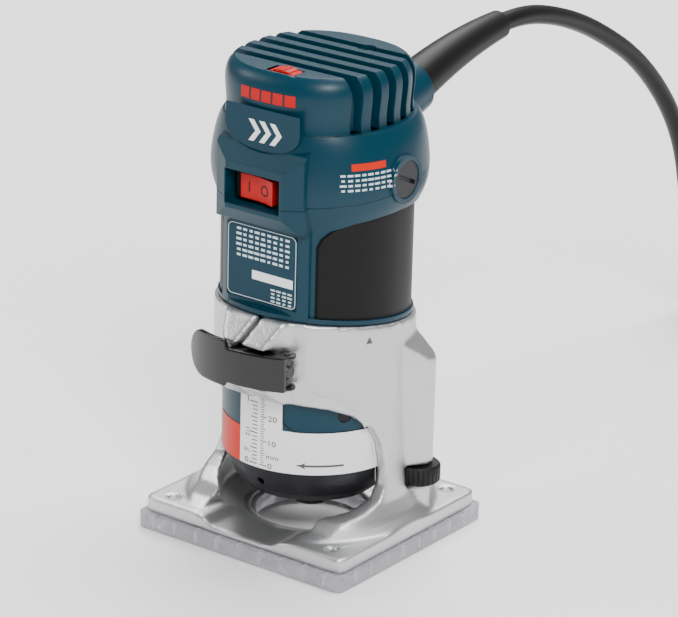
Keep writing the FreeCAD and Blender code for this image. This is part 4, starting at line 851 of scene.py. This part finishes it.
# ---------------------------------------------------------------- cord
@dataclass
class CordSet:
    """Supply cord: flex with its coil and tail, and plug."""

    diameter: float = 8.0 * MM
    exit: Point = (0.0, 0.119, 0.1792)
    route: tuple[Point, ...] = (
        (0.0, 0.119, 0.1792), (0.0, 0.134, 0.18036), (0.0003, 0.161, 0.1746), (0.0, 0.192, 0.1622),
        (0.0015, 0.230, 0.1394), (0.0035, 0.261, 0.1035), (-0.001, 0.281, 0.0605), (-0.007, 0.2967, 0.0249),
        (-0.0115, 0.3107, 0.0114), (-0.015, 0.3287, 0.00405), (-0.016, 0.348, 0.004))
    tail: tuple[Point, ...] = (
        (-0.0013, 0.3107, 0.0206), (-0.0139, 0.3318, 0.0235), (-0.0144, 0.3560, 0.0275), (-0.0037, 0.3758,
                                                                                          0.0305),
        (0.0135, 0.3870, 0.0320), (0.0343, 0.3899, 0.0320))
    centre: tuple[float, float] = (0.036, 0.348)
    outer_turn: float = 52.0 * MM
    turns_round: int = 16
    turns: float = 6.8
    length: float = 2.37

    def coil_points(self) -> list[Point]:
        """Work out the coil's control points, layer by layer.

        Returns:
            Points from the coil's left side, clockwise from above, to its near side.
        """
        grow = 1.0 / (0.75 + 0.25 * math.cos(2 * math.pi / self.turns_round))
        columns = [0, 1, 2, 2, 1, 0, 0, 0]
        layers = [0, 0, 0, 1, 1, 1, 2, 2]
        total = int(round(self.turns * self.turns_round))
        points = []
        for i in range(1, total + 1):
            turn = i / self.turns_round
            k = int(turn)
            share = max(0.0, (turn - k - 0.8) / 0.2)
            ease = share * share * (3 - 2 * share)
            nxt = min(k + 1, 7)
            column = columns[k] + (columns[nxt] - columns[k]) * ease
            layer = layers[k] + (layers[nxt] - layers[k]) * ease
            r = (self.outer_turn - column * self.diameter) * grow
            t = math.pi - 2 * math.pi * turn
            points.append((self.centre[0] + r * math.cos(t), self.centre[1] + r * math.sin(t),
                           self.diameter * (0.5 + layer)))
        return points

    def plug(self) -> bpy.types.Object:
        """Model the plug as a soft lofted grip with ribs.

        Returns:
            The plug's body.
        """
        start = Vector(self.tail[-1])
        axis = (start - Vector(self.tail[-2]))
        axis.z = 0.0
        axis.normalize()
        across = Vector((-axis.y, axis.x, 0))
        stations = [(0.0, 4.7, 4.7), (2.0, 5.2, 5.2), (3.0, 4.8, 4.8), (5.0, 5.6, 5.4), (6.0, 5.2, 5.0),
                    (8.0, 6.2, 5.8), (9.0, 5.9, 5.5), (12.0, 7.2, 6.4), (20.0, 7.9, 7.2), (30.0, 8.0, 7.6),
                    (33.2, 7.9, 7.5), (34.0, 7.2, 6.9)]
        sides = 28
        verts, faces = [], []
        for along, wide, tall in stations:
            for k in range(sides):
                t = 2 * math.pi * k / sides
                u = math.copysign(abs(math.cos(t)) ** 0.75, math.cos(t)) * wide * MM
                v = math.copysign(abs(math.sin(t)) ** 0.75, math.sin(t)) * tall * MM
                verts.append(start + axis * (along * MM) + across * u + Vector((0, 0, v)))
        for i in range(len(stations) - 1):
            for k in range(sides):
                a, b = i * sides + k, i * sides + (k + 1) % sides
                faces.append((a, b, b + sides, a + sides))
        faces += [tuple(range(sides)), tuple(len(verts) - sides + k for k in range(sides))]
        piece = new_piece("moulded_plug", mesh_from("moulded_plug", verts, faces), JACKET, "motor",
                          True)
        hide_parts("plug_body")
        return piece

    def build(self) -> None:
        points = list(self.route) + self.coil_points() + list(self.tail)
        curve = bpy.data.curves.new("supply_flex", "CURVE")
        curve.dimensions = "3D"
        spline = curve.splines.new("NURBS")
        spline.points.add(len(points) - 1)
        for knot, place in zip(spline.points, points):
            knot.co = (*place, 1.0)
        spline.order_u = 3
        spline.use_endpoint_u = True
        curve.resolution_u = 6
        curve.bevel_depth = self.diameter / 2
        curve.bevel_resolution = 5
        curve.use_fill_caps = True
        curve.materials.append(JACKET.material())
        flex = bpy.data.objects.new("supply_flex", curve)
        bpy.context.scene.collection.objects.link(flex)
        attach(flex, "motor")
        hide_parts("power_cord", "cord_coil", "cord_tail")
        plug = self.plug()
        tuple(self.exit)
        log.info("supply_flex: %d control points", len(points))


# ---------------------------------------------------------------- base
@dataclass
class RouterBase:
    """Die-cast base on its clear sole."""

    voxel: float = 0.85 * MM
    pad_x: float = 34.0 * MM
    pad_y: float = 31.0 * MM
    foot_top: float = 12.3 * MM

    def skin_edge(self) -> bpy.types.Mesh:
        """Raised edge of the collar's thicker skin, down the front and round the arch.

        Returns:
            A thin closed ridge half sunk in the wall.
        """
        flat = [(-57.3, 92.0), (-57.3, 84.0), (-57.3, 76.0), (-56.0, 71.2), (-52.0, 68.9), (-46.0, 67.6),
                (-38.0, 65.6), (-30.0, 61.6), (-24.0, 56.4), (-19.0, 49.0), (-16.5, 40.0), (-15.5, 31.0)]
        path = []
        for angle, z in flat:
            swell = 0.0 if z > 72 else min(1.6, (72 - z) * 0.04)
            r = COLLAR_RADIUS + swell * MM - 0.15 * MM
            path.append(Vector((r * math.cos(math.radians(angle)), r * math.sin(math.radians(angle)),
                                z * MM)))
        return swept("skin_edge", path, lambda s: 0.5 * MM, 10)

    def build(self) -> None:
        """Make the casting's visible skin, pad dots, sole ribs and index mark."""
        skin = softened("base_casting", "cast_base_skin", self.voxel, 5, [self.skin_edge()])
        piece = new_piece("cast_base_skin", skin, CASTING, "base", True)
        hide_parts("base_casting")
        dots = dot_field("pad_dots", 7, 4, 2.4 * MM, 0.75 * MM, CASTING)
        places = [Matrix.Translation((sx * self.pad_x, sy * self.pad_y, self.foot_top - 0.05 * MM))
                  for sx, sy in ((-1, -1), (1, -1))]
        new_piece("finger_pad_dots", joined("finger_pad_dots", [moved(dots, m) for m in places]), CASTING,
                  "base",
                  True)
        self.sole_ribs()
        self.index_mark()

    def sole_ribs(self) -> None:
        """Frosted ribs moulded inside the clear sole."""
        rows = []
        for x0, count, y in ((-42.0, 9, -45.0), (-42.0, 9, 45.0)):
            row = bar_row("sole_rib_row", count, (10.5 * MM, 0, 0), (0.9 * MM, 2.6 * MM, 4.4 * MM), FROSTED)
            rows.append(moved(row, Matrix.Translation((x0 * MM, y * MM, 3.0 * MM))))
        for y0, count, x in ((-36.0, 8, -47.6), (-36.0, 8, 47.6)):
            row = bar_row("sole_rib_row", count, (0, 10.3 * MM, 0), (2.6 * MM, 0.9 * MM, 4.4 * MM), FROSTED)
            rows.append(moved(row, Matrix.Translation((x * MM, y0 * MM, 3.0 * MM))))
        new_piece("sole_ribs", joined("sole_ribs", rows), FROSTED, "base")

    def index_mark(self) -> None:
        """Small triangular index on the collar."""
        place = on_barrel(-21.0, 89.9 * MM, COLLAR_RADIUS - 0.05 * MM)
        mark = extruded("index_mark", [(-1.5 * MM, -1.2 * MM), (1.5 * MM, -1.2 * MM), (0.0, 1.5 * MM)],
                        place,
                        0.12 * MM)
        new_piece("index_mark", mark, INK_GREY, "base")


# ---------------------------------------------------------------- clamp lever and wheel
@dataclass
class ClampLever:
    """Gloss lever that closes the collar."""

    voxel: float = 0.36 * MM

    def build(self) -> None:
        """Make the lever's rounded shape."""
        mesh = softened("clamp_lever", "enamelled_lever", self.voxel, 4)
        piece = new_piece("enamelled_lever", mesh, ENAMEL, "lever", True)
        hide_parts("clamp_lever")


@dataclass
class HeightWheel:
    """Knurled wheel of the height adjuster."""

    x: float = 40.2 * MM
    y: float = 16.0 * MM
    z0: float = 24.0 * MM
    thickness: float = 7.4 * MM
    radius: float = 8.7 * MM
    ribs: int = 26

    def build(self) -> None:
        """Stand ribs between the wheel's grooves."""
        ring = knurl_ring("wheel_ribs", self.ribs, self.radius - 0.42 * MM,
                          (0.5 * MM, 0, self.thickness - 1.9 * MM),
                          NYLON)
        spin = Matrix.Rotation(math.pi / self.ribs, 4, "Z")
        place = Matrix.Translation((self.x, self.y, self.z0 + self.thickness / 2))
        new_piece("wheel_ribs", moved(ring, place @ spin), NYLON, "adjuster", True)


# ---------------------------------------------------------------- printed scale
@dataclass
class DepthScale:
    """Printed wrap on the barrel: scale, figures, arrow and outlines."""

    radius: float = SPINDLE_TO_LABEL
    zero_z: float = 36.5 * MM
    inch: float = 25.4 * MM
    print_height: float = 0.05 * MM

    def marks(self) -> bpy.types.Mesh:
        """Lines of both scales.

        Returns:
            All lines in one mesh on the barrel.
        """
        sets = [("mm_lines", 29, 1.0 * MM, 1.5, 0.26, -85.6), ("mm_fives", 6, 5.0 * MM, 2.1, 0.30, -85.2),
                ("mm_tens", 3, 10.0 * MM, 2.9, 0.34, -84.6), ("inch_lines", 17, self.inch / 16, 2.4, 0.36,
                                                              -91.2),
                ("inch_quarters", 5, self.inch / 4, 3.2, 0.40, -91.9), ("inch_halves", 3, self.inch / 2,
                                                                        3.8, 0.42, -92.4)]
        rows = []
        for name, count, step, width, line, angle in sets:
            row = bar_row(name, count, (0, 0, step), (width * MM, 2 * self.print_height, line * MM), INK)
            rows.append(placed(row, on_barrel(angle, self.zero_z, self.radius)))
        return joined("scale_lines", rows)

    def figures(self) -> bpy.types.Mesh:
        """Figures beside both scales.

        Returns:
            All figures in one mesh on the barrel.
        """
        spots = [("0", 3.2, -80.0, 36.6), ("mm", 2.9, -78.4, 40.4), ("10", 3.2, -79.0, 46.0),
                 ("20", 3.2, -78.6, 56.2),
                 ("0", 3.2, -97.6, 36.8), ("in.", 3.0, -97.4, 41.2), ("1", 3.2, -97.0, 62.2)]
        made = [lettering(t, s * MM, on_barrel(a, z * MM, self.radius), self.print_height) for t, s, a,
                z in spots]
        made.append(lettering("1/2", 3.0 * MM, on_barrel(-97.2, 48.8 * MM, self.radius), self.print_height,
                              1.1, -90))
        return joined("scale_figures", made)

    def arrow(self) -> bpy.types.Mesh:
        """Long arrow that shows which way to turn.

        Returns:
            The arrow's mesh on the barrel.
        """
        head, tail, half = -63.5, -33.0, 0.42
        reach = math.radians(tail - head) * self.radius
        steps = 10
        start = 2.6 * MM
        stops = [start + (reach - start) * i / steps for i in range(steps + 1)]
        place = on_barrel(head, 38.7 * MM, self.radius)
        shaft = []
        for u0, u1 in zip(stops, stops[1:]):
            shaft.append(extruded("arrow_shaft", [(u0, -half * MM), (u1, -half * MM), (u1, half * MM),
                                                  (u0, half * MM)],
                                  place, self.print_height))
        point = extruded("arrow_head", [(0.0, 0.0), (4.2 * MM, -1.25 * MM), (3.4 * MM, 0.0),
                                        (4.2 * MM, 1.25 * MM)],
                         place, self.print_height)
        return joined("arrow", shaft + [point])

    def outlines(self) -> bpy.types.Mesh:
        """Dark lines along the top of the white wrap and round the tab.

        Returns:
            The lines as thin ridges.
        """
        flat = [(-71.8, 68.0), (-71.8, 55.6), (-65.0, 52.5), (-54.0, 52.5), (-40.0, 52.5), (-26.0, 52.5),
                (-12.0, 52.5)]
        dense = []
        for (a0, z0), (a1, z1) in zip(flat, flat[1:]):
            dense += [(a0 + (a1 - a0) * k / 8, z0 + (z1 - z0) * k / 8) for k in range(8)]
        dense.append(flat[-1])
        path = [Vector((self.radius * math.cos(math.radians(a)), self.radius * math.sin(math.radians(a)),
                        z * MM))
                for a, z in dense]
        return swept("wrap_outline", path, lambda s: 0.16 * MM, 6)

    def build(self) -> None:
        """Print the scale."""
        for name, mesh in (("scale_lines", self.marks()), ("scale_figures", self.figures()),
                           ("wrap_outline", self.outlines())):
            new_piece(name, mesh, INK, "motor")
        new_piece("turn_arrow", self.arrow(), INK_GREY, "motor")


# ---------------------------------------------------------------- motor details
@dataclass
class MotorFront:
    """Rating plate, badge, flank print, crown bars and spindle nose thread."""

    plate_z: float = 117.3 * MM
    plate_y: float = -34.45 * MM

    def rating_plate(self) -> None:
        """Print the plate with plain bars in place of words."""
        place = on_front(0.0, self.plate_y, self.plate_z)
        rows = print_rows("plate_print", 9, 6, (2.9 * MM, 2.1 * MM), (2.6 * MM, 0.1 * MM, 0.95 * MM), 7,
                          INK_PALE)
        new_piece("plate_print", placed(rows, on_front(0.5 * MM, self.plate_y, 124.5 * MM)), INK_PALE,
                  "motor")
        low = print_rows("plate_foot_print", 4, 4, (2.7 * MM, 1.5 * MM), (2.3 * MM, 0.1 * MM, 0.7 * MM), 11,
                         INK_PALE)
        new_piece("plate_foot_print", placed(low, on_front(9.6 * MM, self.plate_y, 106.3 * MM)), INK_PALE,
                  "motor")
        panel = extruded("number_panel", round_rect(19.5 * MM, 3.6 * MM, 0.3 * MM),
                         on_front(5.2 * MM, self.plate_y, 112.7 * MM), 0.06 * MM)
        new_piece("number_panel", panel, FILM_WHITE, "motor")
        rim = frame_outline("plate_rim", 32.6 * MM, 28.8 * MM, 2.2 * MM, 0.25 * MM, place, 0.08 * MM)
        new_piece("plate_rim", rim, INK_PALE, "motor")

    def badge(self) -> None:
        """Plain chevrons on the shield."""
        y = -36.05 * MM
        chevrons = []
        for k in range(3):
            x = (-6.0 + 5.0 * k) * MM
            chevrons.append(extruded("chevron", [(x, 4.2 * MM), (x + 2.4 * MM, 4.2 * MM),
                                                 (x + 5.6 * MM, 0.0),
                                                 (x + 2.4 * MM, -4.2 * MM), (x, -4.2 * MM), (x + 3.2 * MM,
                                                                                             0.0)],
                                     on_front(0, y + 0.05 * MM, 170.5 * MM), 0.2 * MM))
        new_piece("badge_chevrons", joined("badge_chevrons", chevrons), FILM_WHITE, "motor")

    def flank_print(self) -> None:
        """Rows of plain bars beside the right brush cap, under a red heading bar."""
        near = cast_on("top_cover", (34.5 * MM, -16.0 * MM, 154.6 * MM), -25.0)
        rows = print_rows("flank_print", 9, 4, (2.7 * MM, 1.9 * MM), (2.4 * MM, 0.24 * MM, 0.8 * MM), 5,
                          INK_PALE)
        new_piece("flank_print", placed(rows, near), INK_PALE, "motor")
        strip = bar_row("flank_heading", 6, (2.4 * MM, 0, 0), (2.4 * MM, 0.24 * MM, 2.6 * MM), FILM_RED)
        high = cast_on("top_cover", (32.5 * MM, -22.0 * MM, 160.4 * MM), -25.0)
        new_piece("flank_heading", placed(strip, high), FILM_RED, "motor")

    def crown_mark(self) -> None:
        """Plain bars on the crown's front."""
        face = cast_on("top_cover", (0.0, -30.0 * MM, 184.0 * MM), -90.0)
        bars = bar_row("crown_bars", 5, (5.2 * MM, 0, 0), (4.3 * MM, 0.5 * MM, 4.4 * MM), INK_RED)
        new_piece("crown_bars", placed(moved(bars, Matrix.Translation((-9.5 * MM, 0, 0))), face), INK_RED,
                  "motor")

    def spindle_thread(self) -> None:
        """Thread on the spindle's nose."""
        thread = thread_helix("nose_thread", 7.1 * MM, 1.25 * MM, 9.6 * MM, 0.35 * MM, OXIDE)
        new_piece("nose_thread", moved(thread, Matrix.Translation((0, 0, 10.9 * MM))), OXIDE, "rotor",
                  False)

    def build(self) -> None:
        """Make all front details."""
        self.rating_plate()
        self.badge()
        self.flank_print()
        self.crown_mark()
        self.spindle_thread()


@dataclass
class SwitchFace:
    """Marks on the rocker."""

    x: float = -1.2 * MM
    z: float = 147.8 * MM

    def build(self) -> None:
        """Print I and O on the rocker's face."""
        def face(u: float, v: float, h: float) -> Vector:
            """Lay work on the two slanting faces of the rocker."""
            spots = [(-8.2, -36.0), (-4.1, -35.8), (0.0, -35.9), (4.1, -36.6), (8.2, -37.8)]
            mm = u / MM
            for (u0, y0), (u1, y1) in zip(spots, spots[1:]):
                if mm <= u1 or u1 == 8.2:
                    y = y0 + (y1 - y0) * (mm - u0) / (u1 - u0)
                    break
            return Vector((self.x + u, y * MM - h, self.z + v))
        bar = extruded("on_mark", [(-4.5 * MM, -2.0 * MM), (-3.9 * MM, -2.0 * MM), (-3.9 * MM, 2.0 * MM),
                                   (-4.5 * MM, 2.0 * MM)], face, 0.06 * MM)
        n = 28
        rings = []
        for r, h in ((2.1, 0.0), (2.1, 0.06), (1.5, 0.06), (1.5, 0.0)):
            rings += [face((3.6 + r * math.cos(2 * math.pi * i / n)) * MM,
                           r * math.sin(2 * math.pi * i / n) * MM, h * MM)
                      for i in range(n)]
        faces = [(a * n + i, a * n + (i + 1) % n, ((a + 1) % 4) * n + (i + 1) % n, ((a + 1) % 4) * n + i)
                 for a in range(4) for i in range(n)]
        ring = mesh_from("off_mark", rings, faces)
        new_piece("rocker_marks", joined("rocker_marks", [bar, ring]), INK, "rocker")


def dress_nodes() -> None:
    """Give every CAD node its finish."""
    for name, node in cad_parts.items():
        finish = NODE_FINISH[name].material()
        if node.data.materials:
            for i in range(len(node.material_slots)):
                node.material_slots[i].material = finish
        else:
            node.data.materials.append(finish)
        log.info("%s: %s", name, finish.name)


def main() -> None:
    """Build the studio, the cord and every visible piece."""
    logging.basicConfig(level=logging.INFO, format="%(message)s")
    Studio().build()
    dress_nodes()
    CordSet().build()
    for part in (RouterBase(), ClampLever(), HeightWheel(), DepthScale(), MotorFront(), SwitchFace()):
        part.build()


if __name__ == "__main__":
    main()
